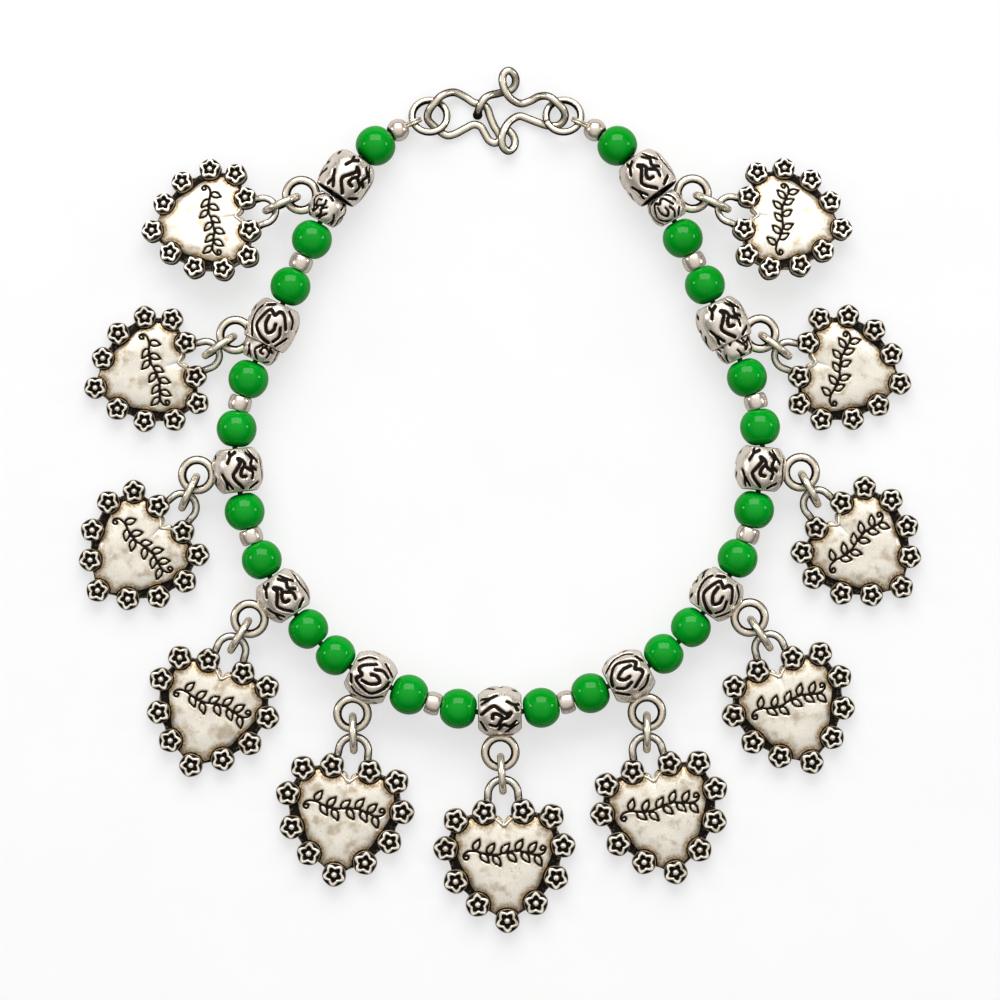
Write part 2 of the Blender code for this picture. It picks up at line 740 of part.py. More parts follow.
def clasp_points(bends, ring_middle, other_middle):
    """Return the bends of a clasp wire as points, read from its own ring towards the other ring."""
    span = other_middle - ring_middle
    along = Vector((span.x, span.y, 0.0))
    across = Vector((-along.y, along.x, 0.0)).normalized()
    if along.x < 0:
        across = -across
    floor = Vector((ring_middle.x, ring_middle.y, 0.0))
    up = Vector((0.0, 0.0, 1.0))
    return [floor + along * a + across * (b * CLASP_WIRE) + up * (c * CLASP_WIRE) for a, b, c in bends]


def end_ring_places(joints):
    """Return the matrices of the two end rings, a thread loop away from each end ball."""
    places = {}
    ball_reach = END_BALL_DIAMETER / 2 + END_LOOP_PLAY + THREAD_GAP / 2
    ring_radius = (END_RING_DIAMETER - END_RING_WIRE) / 2
    for side in (-1, 1):
        ball = (joints[side][-1] + joints[side][-2]) / 2
        clasp_way = heading(90.0 + side * CLASP_TURN)
        middle = ball + clasp_way * (ball_reach + END_RING_WIRE / 2 + ring_radius)
        middle.z = END_RING_HEIGHT
        places[side] = Matrix.Translation(middle) @ Matrix.Rotation(math.radians(-END_RING_TILT), 4, "X")
    return places


def end_loop_mesh(side, ring_place):
    """Return the thread's loop round the wire of an end ring, standing across it beside the end ball."""
    ring_radius = (END_RING_DIAMETER - END_RING_WIRE) / 2
    to_ball = -heading(90.0 + side * CLASP_TURN)
    level = ring_place.inverted().to_3x3() @ to_ball
    level.z = 0.0
    middle = ring_place @ (level.normalized() * ring_radius)
    up = Vector((0.0, 0.0, 1.0))
    place = frame_matrix(middle, to_ball, up, to_ball.cross(up))
    outer = END_RING_WIRE + 2 * END_LOOP_PLAY + 2 * THREAD_DIAMETER
    return ring_mesh("end_loop", outer, THREAD_DIAMETER, place)


def build_anklet():
    """Make every piece, then shift the whole so that its origin is the middle of its footprint."""
    silver = make_material(SILVER)
    heart_silver = make_material(HEART_SILVER)
    wire_silver = make_material(WIRE_SILVER)
    green = make_material(GREEN)
    root = bpy.data.objects.new("anklet_origin", None)
    anklet.objects.link(root)

    route = StringRoute()
    pieces, joints, bail_rings = thread_pieces(route)
    ring_places = end_ring_places(joints)
    end_ring = ring_mesh("end_ring", END_RING_DIAMETER, END_RING_WIRE)
    end_ring.materials.append(wire_silver)
    for side, word in ((-1, "left"), (1, "right")):
        place_object(f"end_ring_{word}", end_ring, anklet, root, ring_places[side])

    build_string(pieces, joints, ring_places, silver, root)
    build_green_beads(pieces, green, root)
    build_charms(bail_rings, heart_silver, wire_silver, root)
    build_clasp(ring_places, wire_silver, root)

    bpy.context.view_layer.update()
    corners = [
        thing.matrix_world @ vertex.co
        for thing in anklet.objects if thing.type == "MESH"
        for vertex in thing.data.vertices
    ]
    low = [min(corner[k] for corner in corners) for k in range(3)]
    high = [max(corner[k] for corner in corners) for k in range(3)]
    root.location = (-(low[0] + high[0]) / 2, -(low[1] + high[1]) / 2, -low[2])
    print("anklet size", [round(b - a, 5) for a, b in zip(low, high)], "shift", tuple(root.location))


def build_string(pieces, joints, ring_places, material, root):
    """Fuse the thread, barrels, bail beads, spacers, end balls and thread loops into one body."""
    meshes = silver_meshes()
    made = [(kind, place) for kind, side, place in pieces if kind in meshes]
    threaded = [(meshes[kind], place) for kind, place in made if "bail" not in kind]
    bail_beads = [(meshes[kind], place) for kind, place in made if "bail" in kind]
    points = list(reversed(joints[-1])) + joints[1]
    thread = wire_mesh("thread", points, THREAD_DIAMETER, False, THREAD_SIDES)
    loops = [end_loop_mesh(side, ring_places[side]) for side in (-1, 1)]
    additions = [joined_mesh("threaded", threaded), joined_mesh("bail_beads", bail_beads)] + loops
    string = united_mesh("silver_string", thread, additions)
    string.materials.clear()
    string.materials.append(material)
    place_object("silver_string", string, anklet, root)


def build_green_beads(pieces, material, root):
    """Place the green beads, numbered on each side from the clasp down to the centre."""
    mesh = green_bead_mesh()
    mesh.materials.append(material)
    for side, word in ((-1, "left"), (1, "right")):
        places = [place for kind, where, place in pieces if kind == "green" and where == side]
        for number, place in enumerate(reversed(places), start=1):
            place_object(f"green_bead_{word}_{number:02d}", mesh, anklet, root, place)


def build_charms(bail_rings, heart_material, link_material, root):
    """Place the eleven hearts and the links that carry them."""
    charm = heart_charm_mesh()
    charm.materials.clear()
    charm.materials.append(heart_material)
    link = ring_mesh("jump_link", LINK_OUTER_DIAMETER, LINK_WIRE)
    link.materials.append(link_material)
    for row in CHARMS:
        link_place, charm_place = hang_charm(row, bail_rings, charm)
        place_object(f"jump_link_{row[0]}", link, anklet, root, link_place)
        place_object(f"heart_charm_{row[0]}", charm, anklet, root, charm_place)


def build_clasp(ring_places, material, root):
    """Bend the eye through the left end ring, and the hook with its rounded tip through the right one."""
    left = ring_places[-1].translation
    right = ring_places[1].translation
    eye_points = smooth_curve(clasp_points(EYE_BENDS, left, right), True, CLASP_SEGMENT)
    eye = wire_mesh("clasp_eye", eye_points, CLASP_WIRE, True, CLASP_SIDES)
    hook_points = smooth_curve(clasp_points(HOOK_BENDS, right, left), False, CLASP_SEGMENT)
    hook_wire = wire_mesh("hook_wire", hook_points, CLASP_WIRE, False, CLASP_SIDES)
    bpy.ops.mesh.primitive_uv_sphere_add(
        segments=BEAD_SIDES, ring_count=6, radius=HOOK_TIP_DIAMETER / 2, location=tuple(hook_points[0])
    )
    tip = settle_mesh(bpy.context.object, "hook_tip")
    hook = united_mesh("clasp_hook", hook_wire, [tip])
    for name, mesh in (("clasp_eye", eye), ("clasp_hook", hook)):
        mesh.materials.clear()
        mesh.materials.append(material)
        place_object(name, mesh, anklet, root)


remove_everything()
workshop = make_collection("workshop")
anklet = make_collection(COLLECTION_NAME)
build_anklet()
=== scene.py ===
# %% [markdown]
# # Dressing a payal anklet
#
# A payal is worn on the ankle and rings as its wearer walks. This one is a thread of carved barrels and
# green glass beads, with a row of cast hearts on small links and a hook and eye of bent wire. The packed
# model already says where each piece lies. The lesson rebuilds every piece there as a finer surface, works
# out how it is worn and tarnished, and lights it on a pale table, seen from straight above.

# %% Clear the scene, load the frame and measure it
import json

import bpy
import numpy as np
from mathutils import Matrix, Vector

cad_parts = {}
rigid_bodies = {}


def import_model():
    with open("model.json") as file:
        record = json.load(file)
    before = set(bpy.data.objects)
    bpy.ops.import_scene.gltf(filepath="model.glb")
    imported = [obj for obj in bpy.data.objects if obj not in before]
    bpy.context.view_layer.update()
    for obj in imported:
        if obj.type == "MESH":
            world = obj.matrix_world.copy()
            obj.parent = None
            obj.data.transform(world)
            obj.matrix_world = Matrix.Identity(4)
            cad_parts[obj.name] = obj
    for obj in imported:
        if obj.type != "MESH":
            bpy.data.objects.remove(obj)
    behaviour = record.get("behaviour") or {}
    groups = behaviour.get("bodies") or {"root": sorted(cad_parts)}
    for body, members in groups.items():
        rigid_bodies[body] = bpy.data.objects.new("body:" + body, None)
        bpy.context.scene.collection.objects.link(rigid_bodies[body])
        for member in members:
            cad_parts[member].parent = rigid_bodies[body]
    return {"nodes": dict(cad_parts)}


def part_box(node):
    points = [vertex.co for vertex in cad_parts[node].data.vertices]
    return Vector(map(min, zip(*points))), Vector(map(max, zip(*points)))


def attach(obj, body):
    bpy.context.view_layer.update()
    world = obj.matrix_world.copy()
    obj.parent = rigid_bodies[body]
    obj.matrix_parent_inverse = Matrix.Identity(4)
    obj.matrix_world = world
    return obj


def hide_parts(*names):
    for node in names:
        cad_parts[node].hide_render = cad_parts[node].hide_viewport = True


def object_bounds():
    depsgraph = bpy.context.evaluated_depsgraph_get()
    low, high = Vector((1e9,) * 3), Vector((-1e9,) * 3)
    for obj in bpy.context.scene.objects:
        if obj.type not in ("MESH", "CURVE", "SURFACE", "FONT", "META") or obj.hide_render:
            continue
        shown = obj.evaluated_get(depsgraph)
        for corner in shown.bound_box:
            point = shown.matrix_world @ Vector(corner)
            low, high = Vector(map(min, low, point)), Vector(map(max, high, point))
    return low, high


for leftover in list(bpy.data.objects):
    bpy.data.objects.remove(leftover, do_unlink=True)
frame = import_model()
cad_low, cad_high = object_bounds()
MM = 0.001
cad_size = [round((high - low) / MM, 1) for low, high in zip(cad_low, cad_high)]
print("frame of", len(frame["nodes"]), "nodes,", cad_size, "mm")

# %% [markdown]
# ## Surfaces from arrays
#
# Every piece is a grid of points that is worked out as one numpy array and then closed. A bead or a ring
# closes both ways, like a bent tube. A wire or a flower closes one way round, and a fan of triangles shuts
# each end. Modifiers could round off a rougher mesh instead, but a grid has every point where its formula
# puts it. So each point can also carry two masks. Oxide and shade is the black that is left in the cuts of
# cast metal, together with painted shade on the flanks and undersides of wire, inside rings and holes and
# where pieces meet; it also leaves the flowers' rims bright as a painted highlight. Tarnish and shade is
# the brown round them, with painted shade on the flanks of wire. The materials read both.

# %% Grids, closed surfaces and wear masks
UP = np.array([0.0, 0.0, 1.0])


def grid_faces(rows, columns, wrap_rows):
    """Four-cornered faces between neighbouring points of a grid whose columns go right round."""
    i, j = np.meshgrid(np.arange(rows if wrap_rows else rows - 1), np.arange(columns), indexing="ij")
    here, beside = i * columns, (j + 1) % columns
    below = ((i + 1) % rows) * columns
    return np.stack([here + j, here + beside, below + beside, below + j], axis=-1).reshape(-1, 4)


def signed_volume(points, faces):
    """Volume inside a closed surface: a . (b x c) / 6, added up over its triangles."""
    total = 0.0
    for block in faces:
        for k in range(1, block.shape[1] - 1):
            a, b, c = points[block[:, 0]], points[block[:, k]], points[block[:, k + 1]]
            total += np.einsum("ij,ij->", a, np.cross(b, c)) / 6
    return total


def facing_out(points, faces):
    """Turn every face round if the volume inside them comes out negative."""
    if signed_volume(points, faces) < 0:
        return [block[:, ::-1] for block in faces]
    return faces


def closed_surface(grid, ring, oxide=0.0, tarnish=0.0):
    """Close a grid of points (rows, columns, 3). A ring meets itself, and anything else gets end fans."""
    rows, columns = grid.shape[:2]
    points = grid.reshape(-1, 3)
    faces = [grid_faces(rows, columns, ring)]
    masks = [np.broadcast_to(mask, (rows, columns)) for mask in (oxide, tarnish)]
    flat = [mask.reshape(-1) for mask in masks]
    if not ring:
        points = np.vstack([points, grid[[0, -1]].mean(axis=1)])
        around = np.arange(columns)
        after = (around + 1) % columns
        last = (rows - 1) * columns
        pole = np.full(columns, rows * columns)
        faces.append(np.column_stack([pole, after, around]))
        faces.append(np.column_stack([pole + 1, last + around, last + after]))
        flat = [np.concatenate([values, mask[[0, -1]].mean(axis=1)]) for values, mask in zip(flat, masks)]
    return {"points": points, "faces": facing_out(points, faces), "oxide": flat[0], "tarnish": flat[1]}


def moved(patch, place):
    """Carry a patch by a 4 x 4 matrix: p' = R p + t."""
    return {**patch, "points": patch["points"] @ place[:3, :3].T + place[:3, 3]}


def eased(value, start, stop):
    """Ease from 0 at start to 1 at stop: 3 t^2 - 2 t^3, held flat beyond either end."""
    t = np.clip((value - start) / (stop - start), 0.0, 1.0)
    return t * t * (3 - 2 * t)


# %% Write patches into one piece
SHARP_EDGE_DEGREES = 50


def add_piece(name, patches, material, replaced):
    """Join patches into one smooth mesh at the origin, ride it on the root and hide the nodes it replaces."""
    points = np.vstack([patch["points"] for patch in patches])
    starts = np.cumsum([0] + [len(patch["points"]) for patch in patches[:-1]])
    corners, sizes = [], []
    for patch, start in zip(patches, starts):
        for block in patch["faces"]:
            corners.append((block + start).reshape(-1))
            sizes.append(np.full(len(block), block.shape[1]))
    corners, sizes = np.concatenate(corners), np.concatenate(sizes)
    mesh = bpy.data.meshes.new(name)
    mesh.vertices.add(len(points))
    mesh.vertices.foreach_set("co", points.astype(np.float32).reshape(-1))
    mesh.loops.add(len(corners))
    mesh.loops.foreach_set("vertex_index", corners.astype(np.int32))
    mesh.polygons.add(len(sizes))
    mesh.polygons.foreach_set("loop_start", (np.cumsum(sizes) - sizes).astype(np.int32))
    mesh.update(calc_edges=True)
    mesh.polygons.foreach_set("use_smooth", np.ones(len(sizes), dtype=bool))
    mesh.set_sharp_from_angle(angle=np.radians(SHARP_EDGE_DEGREES))
    for mask in ("oxide", "tarnish"):
        values = np.concatenate([patch[mask] for patch in patches]).astype(np.float32)
        mesh.attributes.new(mask, "FLOAT", "POINT").data.foreach_set("value", values)
    mesh.materials.append(material)
    piece = bpy.data.objects.new(name, mesh)
    bpy.context.scene.collection.objects.link(piece)
    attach(piece, "root")
    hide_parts(*replaced)
    print(name, int((sizes - 2).sum()), "triangles")
    return piece


# %% [markdown]
# ## Where everything lies
#
# The beads are threaded as a stringer would do it: along a smooth route, each by its own length, with a
# small gap to its neighbour. Each bead could be copied to its solid's middle instead, but the string is one
# solid and doesn't tell its barrels apart. These are the same route and the same order as in the solids, so
# each finer bead comes out where its solid is. The route was laid out about the middle of the loop. The
# green beads, compared with their solids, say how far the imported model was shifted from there.

# %% Route of the string and order of its pieces, in millimetres
ROUTE = [
    # x, y, lift: 1 where the thread is as high as a barrel's middle, 0 where it is as high as an end ball's
    (-15.7, 43.2, 0.18),
    (-19.2, 41.2, 0.72),
    (-23.1, 36.2, 1.15),
    (-28.1, 26.8, 1.02),
    (-31.3, 19.6, 1.00),
    (-34.1, 13.5, 1.00),
    (-37.6, 6.2, 1.00),
    (-39.5, -1.5, 1.00),
    (-37.9, -14.3, 1.00),
    (-35.2, -21.6, 1.00),
    (-28.3, -31.4, 1.00),
    (-24.1, -35.6, 1.00),
    (-13.8, -40.8, 1.00),
    (-6.1, -43.2, 1.00),
    (0.1, -43.6, 1.00),
    (6.2, -43.1, 1.00),
    (13.8, -40.7, 1.00),
    (24.3, -35.5, 1.00),
    (28.4, -31.3, 1.00),
    (35.2, -22.0, 1.00),
    (37.8, -15.3, 1.00),
    (39.5, -2.2, 1.00),
    (37.6, 5.6, 1.00),
    (34.2, 13.0, 1.00),
    (31.3, 19.2, 1.00),
    (28.1, 26.2, 1.02),
    (22.9, 35.7, 1.15),
    (18.9, 40.8, 0.72),
    (15.5, 42.9, 0.18),
]
ROUTE_MIDDLE = 14
HALF_STRING = [
    "green", "spacer", "green", "barrel", "green", "green", "barrel", "green", "spacer", "green", "barrel",
    "green", "spacer", "green", "bail_bead_nested", "open_barrel", "green", "spacer", "green", "bail_bead",
    "open_barrel", "bare_thread", "green", "end_ball",
]
BARREL_LENGTH, BARREL_DIAMETER = 6.5, 8.0
OPEN_END_DEPTH, OPEN_END_DIAMETER, OPEN_END_TAPER, NESTED_SHARE = 2.0, 6.0, 0.2, 0.9
BAIL_BEAD_LENGTH, BAIL_BEAD_DIAMETER = 4.2, 5.6
SPACER_LENGTH, SPACER_DIAMETER, SPACER_END_DIAMETER, SPACER_LIP = 1.7, 3.5, 2.5, 0.28
END_BALL_LENGTH, END_BALL_DIAMETER = 2.6, 3.4
GREEN_LENGTH, GREEN_DIAMETER, GREEN_HOLE_DIAMETER = 5.4, 6.0, 1.4
THREAD_DIAMETER, THREAD_GAP, THREAD_EASE, ROUTE_STEP = 0.8, 0.3, 4.5, 0.2
THREADED_LENGTH = {
    "green": GREEN_LENGTH,
    "spacer": SPACER_LENGTH,
    "barrel": BARREL_LENGTH,
    "open_barrel": BARREL_LENGTH,
    "bail_bead": BAIL_BEAD_LENGTH,
    "bail_bead_nested": BAIL_BEAD_LENGTH - NESTED_SHARE * OPEN_END_DEPTH,
    "end_ball": END_BALL_LENGTH,
    "bare_thread": 0.0,
}
print(2 * len(HALF_STRING) + 1, "places on the string")


# %% Smooth curves and turned axes
CURVE_PARTS, FEWEST_STEPS = 24, 8


def unit(vectors):
    """Scale each vector to length 1."""
    return vectors / np.linalg.norm(vectors, axis=-1, keepdims=True)


def smooth_curve(points, closed, step):
    """Points a step apart on a curve through the given ones: blends of blends of lines, timed by sqrt(d)."""
    points = np.asarray(points, dtype=float)
    if closed:
        padded = np.vstack([points[-1:], points, points[:2]])
    else:
        padded = np.vstack([2 * points[0] - points[1], points, 2 * points[-1] - points[-2]])
    p0, p1, p2, p3 = (padded[k:len(padded) - 3 + k, None] for k in range(4))
    pairs = ((p0, p1), (p1, p2), (p2, p3))
    gaps = [np.sqrt(np.linalg.norm(b - a, axis=-1, keepdims=True)) for a, b in pairs]
    t1, t2, t3 = gaps[0], gaps[0] + gaps[1], gaps[0] + gaps[1] + gaps[2]
    t = t1 + np.linspace(0.0, 1.0, CURVE_PARTS, endpoint=False)[None, :, None] * (t2 - t1)
    a1 = (p0 * (t1 - t) + p1 * t) / t1
    a2 = (p1 * (t2 - t) + p2 * (t - t1)) / (t2 - t1)
    a3 = (p2 * (t3 - t) + p3 * (t - t2)) / (t3 - t2)
    b1 = (a1 * (t2 - t) + a2 * t) / t2
    b2 = (a2 * (t3 - t) + a3 * (t - t1)) / (t3 - t1)
    dense = ((b1 * (t2 - t) + b2 * (t - t1)) / (t2 - t1)).reshape(-1, points.shape[1])
    dense = np.vstack([dense, points[0] if closed else points[-1]])
    along = np.concatenate([[0.0], np.cumsum(np.linalg.norm(np.diff(dense, axis=0), axis=1))])
    marks = np.linspace(0.0, along[-1], max(FEWEST_STEPS, round(along[-1] / step)) + 1)
    even = np.column_stack([np.interp(marks, along, dense[:, k]) for k in range(points.shape[1])])
    return even[:-1] if closed else even


def place_of(origin, x_axis, y_axis, z_axis):
    """The matrix that carries the local axes to the given ones, with its origin there."""
    place = np.eye(4)
    place[:3, 0], place[:3, 1], place[:3, 2], place[:3, 3] = x_axis, y_axis, z_axis, origin
    return place


def turned_about(axis, degrees):
    """The turn about an axis: I + sin K + (1 - cos) K^2, with K the axis's cross product."""
    x, y, z = unit(np.asarray(axis, dtype=float))
    k = np.array([[0, -z, y], [z, 0, -x], [-y, x, 0]])
    angle = np.radians(degrees)
    return np.eye(3) + np.sin(angle) * k + (1 - np.cos(angle)) * k @ k


def heading(degrees):
    """The level unit vector at an angle from +X towards +Y."""
    return np.array([np.cos(np.radians(degrees)), np.sin(np.radians(degrees)), 0.0])


# %% Thread the string
def route_points():
    """The route's curve, each point then averaged with its neighbours, as a light pull eases a thread."""
    low = END_BALL_DIAMETER / 2
    rise = BARREL_DIAMETER / 2 - low
    points = smooth_curve([(x, y, low + lift * rise) for x, y, lift in ROUTE], False, ROUTE_STEP)
    reach = round(THREAD_EASE / ROUTE_STEP)
    before = 2 * points[0] - points[reach:0:-1]
    after = 2 * points[-1] - points[-2:-reach - 2:-1]
    padded = np.vstack([before, points, after])
    weights = np.full(2 * reach + 1, 1 / (2 * reach + 1))
    return np.column_stack([np.convolve(padded[:, k], weights, "valid") for k in range(3)])


route = route_points()
route_along = np.concatenate([[0.0], np.cumsum(np.linalg.norm(np.diff(route, axis=0), axis=1))])
route_middle = np.array([ROUTE[ROUTE_MIDDLE][0], ROUTE[ROUTE_MIDDLE][1], BARREL_DIAMETER / 2])
route_centre = route_along[np.argmin(np.linalg.norm(route - route_middle, axis=1))]


def on_route(length):
    """The point a length of string from the centre, negative on the left. Each end runs on straight."""
    place = route_centre + length
    if place < 0:
        return route[0] + unit(route[0] - route[1]) * -place
    if place > route_along[-1]:
        return route[-1] + unit(route[-1] - route[-2]) * (place - route_along[-1])
    return np.array([np.interp(place, route_along, route[:, k]) for k in range(3)])


def threaded(start, stop, middle):
    """Where a piece sits on the thread, and the way that the thread runs there, towards the clasp."""
    low, high = on_route(start), on_route(stop)
    return low + (high - low) * (middle - start) / (stop - start), unit(high - low)


# kind, side, ring number or None, place, way towards the clasp
string_rows = []
string_joints = {}
for side in (-1, 1):
    reached = (BARREL_LENGTH + THREAD_GAP) / 2
    stops = [side * reached]
    ring_number = 1
    for kind in HALF_STRING:
        near, reached = reached, reached + THREADED_LENGTH[kind] + THREAD_GAP
        middle = (near + reached) / 2
        if kind == "bail_bead_nested":
            middle = near + (THREAD_GAP + BAIL_BEAD_LENGTH) / 2
        origin, forward = threaded(side * near, side * reached, side * middle)
        ringed = kind in ("barrel", "bail_bead", "bail_bead_nested")
        string_rows.append((kind, side, ring_number if ringed else None, origin, forward))
        ring_number += ringed
        stops.append(side * reached)
    string_joints[side] = np.array([on_route(stop) for stop in stops])
half_barrel = (BARREL_LENGTH + THREAD_GAP) / 2
string_rows.append(("barrel", 0, 0, *threaded(-half_barrel, half_barrel, 0.0)))

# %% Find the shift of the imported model, and check every green bead against its solid
green_names, green_rows = [], []
for side, word in ((-1, "left"), (1, "right")):
    rows = [row for row in string_rows if row[0] == "green" and row[1] == side][::-1]
    green_rows += rows
    green_names += [f"green_bead_{word}_{number:02d}" for number in range(1, len(rows) + 1)]
solid_middles = np.array([np.mean(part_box(name), axis=0) for name in green_names]) / MM
threaded_middles = np.array([row[3] for row in green_rows])
SHIFT = (solid_middles - threaded_middles).mean(axis=0)
worst = np.abs(solid_middles - threaded_middles - SHIFT).max()
print("shift", SHIFT.round(3), "mm, and the worst bead is", round(float(worst), 4), "mm from its solid")


def to_frame(place):
    """Turn a place in millimetres about the loop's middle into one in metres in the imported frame."""
    shifted = place.copy()
    shifted[:3, 3] = (place[:3, 3] + SHIFT) * MM
    shifted[:3, :3] = place[:3, :3] * MM
    return shifted


# %% [markdown]
# ## Turned beads
#
# Beads, spacers and barrels are turned on a lathe or cast from turned masters, so each is a profile carried
# round an axis. A sphere with a hole cut through it would do for a bead, but not for the rest. Every one is
# drilled. Its profile is therefore a loop: up the outside, over the end, down through the hole and back,
# which closes the surface without a pole.

# %% Turn a looped profile about an axis
def turned(radii, heights, sides, oxide, tarnish=0.0):
    """Points (r cos a, r sin a, h) of a profile (r, h). The radii may differ from column to column."""
    angles = np.arange(sides) * 2 * np.pi / sides
    radii = np.broadcast_to(np.asarray(radii).reshape(len(heights), -1), (len(heights), sides))
    heights = np.broadcast_to(np.asarray(heights)[:, None], radii.shape)
    grid = np.stack([radii * np.cos(angles), radii * np.sin(angles), heights], axis=-1)
    masks = [np.asarray(mask) for mask in (oxide, tarnish)]
    masks = [mask[:, None] if mask.ndim == 1 else mask for mask in masks]
    return closed_surface(grid, True, *masks)


def bead_place(row, roll=0.0):
    """A bead's place: Z along the thread and X up, rolled about the thread by some degrees."""
    origin, forward = row[3:]
    upward = unit(UP - forward * forward[2])
    rolled = turned_about(forward, roll) @ upward
    return to_frame(place_of(origin, rolled, np.cross(forward, rolled), forward))


# %% Green glass beads: a ball, ground flat and drilled, with a softened lip
GREEN_END_GROWTH, GREEN_LIP_WIDTH, GREEN_LIP_DEPTH, GREEN_WAIST = 0.1, 0.10, 0.12, 0.14
GREEN_SIDES = 64


def green_bead():
    """Outside r = R sin a and h = R cos a, held under the half length H by h / (1 + |h / H|^12)^(1/12).

    The ball is a little longer than its solid. The hole has a softened lip, and narrows to a waist halfway
    through. The mask here is painted shade: it darkens the ground ends and the hole.
    """
    radius, hole, half = GREEN_DIAMETER / 2, GREEN_HOLE_DIAMETER / 2, GREEN_LENGTH / 2 + GREEN_END_GROWTH
    edge = np.arcsin(hole / radius)
    a = np.linspace(edge, np.pi - edge, 31)
    height = radius * np.cos(a)
    height = height / (1 + np.abs(height / half) ** 12) ** (1 / 12)
    lip_radius, lip_height = hole - GREEN_LIP_WIDTH, height[0] - GREEN_LIP_DEPTH
    radii = np.concatenate([radius * np.sin(a), [lip_radius, hole - GREEN_WAIST, lip_radius]])
    heights = np.concatenate([height, [-lip_height, 0.0, lip_height]])
    # painted shade: darker at the ground ends and in the hole
    dark = np.concatenate([0.3 * eased(np.abs(height), 2.35, 2.6), np.ones(3)])
    return turned(radii, heights, GREEN_SIDES, dark)


bead_patch = green_bead()
print("one green bead has", len(bead_patch["points"]), "points")

# %% [markdown]
# ## Carving
#
# The barrels are cast with a pattern of hooked and curled grooves. In real life a carver cuts them into a
# master, and the casting keeps a black oxide in the grooves after its high parts are polished. A painted
# picture would give the black, but no shadow and no broken edge. So here each groove is a short line on the
# barrel as if it were unrolled flat. The distance from a surface point to the nearest line says how deep
# the groove is there and how black.

# %% Grooves on the barrel's upper face, in millimetres along the thread and across it
HOOK_GROOVES = [
    [(-2.8, 2.55), (-1.7, 2.3), (-0.5, 2.7)],
    [(-2.75, 1.6), (-1.7, 2.15)],
    [(1.2, 1.75), (2.3, 1.35), (2.95, 1.6)],
    [(2.3, 1.35), (2.8, 0.4)],
    [(-2.9, -0.5), (-1.7, 0.7), (-0.85, 1.05), (0.05, 0.4), (1.1, -0.3), (1.8, 0.0), (1.35, -0.75),
     (0.7, -1.05), (-0.1, -0.4), (-1.05, -0.3), (-1.15, -1.05)],
    [(-1.5, -2.1), (-0.5, -2.2), (0.2, -1.3)],
    [(-0.2, -2.8), (0.55, -2.0), (1.5, -2.35), (2.5, -1.7)],
    [(1.0, -3.2), (1.85, -2.7), (2.8, -2.35)],
    [(-3.0, -2.0), (-2.2, -3.15)],
]
ROSE_GROOVES = [
    [(0.95, 0.95), (-0.45, 0.9), (-1.6, 0.0), (-0.9, -0.7), (0.1, -0.6)],
    [(-3.0, -0.9), (-2.5, 0.9), (-1.2, 2.2), (0.7, 1.9), (1.95, 1.25), (1.4, 0.1), (2.1, -0.3),
     (2.15, -1.1), (0.1, -2.4)],
    [(-2.45, -1.5), (-1.4, -1.95), (-0.1, -1.55)],
    [(-2.9, 2.35), (-1.0, 3.1), (1.1, 3.15), (1.9, 2.9)],
    [(2.4, 2.3), (2.95, 1.2)],
    [(0.6, -3.15), (1.9, -2.9), (2.8, -2.1)],
    [(-2.9, -2.3), (-1.2, -3.1)],
]
GROOVE_HALF_WIDTH, GROOVE_DEPTH = 0.31, 0.26
GROOVE_SLOPE_OUT, GROOVE_SLOPE_IN, GROOVE_STAIN = 0.09, 0.10, 0.31
LINE_STEP = 0.3


def distance_to_lines(x, y, lines):
    """Shortest distance from points to a set of bent lines: project on each run, clamped to its ends."""
    starts = np.vstack([line[:-1] for line in lines])
    runs = np.vstack([line[1:] for line in lines]) - starts
    offset = np.stack([x, y], axis=-1)[..., None, :] - starts
    share = np.clip((offset * runs).sum(-1) / (runs * runs).sum(-1), 0.0, 1.0)
    return np.linalg.norm(offset - share[..., None] * runs, axis=-1).min(axis=-1)


def unrolled(grooves, mirror=1):
    """Smooth each groove, and unroll it from the face as seen, t = R asin(y / R), on a barrel of radius R."""
    radius = BARREL_DIAMETER / 2
    seen = [smooth_curve(groove, False, LINE_STEP) for groove in grooves]
    return [np.column_stack([line[:, 0] * mirror, radius * np.arcsin(line[:, 1] / radius)]) for line in seen]


CARVED_FACES = [
    # degrees round the barrel, lines of the face that is carved there
    (0.0, unrolled(HOOK_GROOVES)),
    (120.0, unrolled(ROSE_GROOVES)),
    (240.0, unrolled(HOOK_GROOVES, -1)),
]
print(sum(len(lines) for _, lines in CARVED_FACES), "grooves round a barrel")


# %% Profile of a barrel
BARREL_BORE_RADIUS, BARREL_LIP, ROW_CROWDING = 0.55, 0.14, 0.92
BARREL_TRIM, OPEN_BARREL_TRIM = 0.34, 0.4
LIP_START, LIP_SHARE = 0.93, 0.07


def barrel_outside(length, diameter, shoulder, foot_shoulder, rows):
    """Outside r = R (1 - k |s|^2.8), less a quarter circle at each lip, in rows that crowd to both ends."""
    half, crowding = length / 2, np.pi / 2 * ROW_CROWDING
    heights = half * np.sin(np.linspace(-1, 1, rows) * crowding) / np.sin(crowding)
    share = np.abs(heights) / half
    drop = np.where(heights > 0, shoulder, foot_shoulder)
    lip = np.clip((share - LIP_START) / LIP_SHARE, 0, 1)
    outside = diameter / 2 * (1 - drop * share ** 2.8)
    return heights, share, outside - BARREL_LIP * (1 - np.sqrt(1 - lip ** 2))


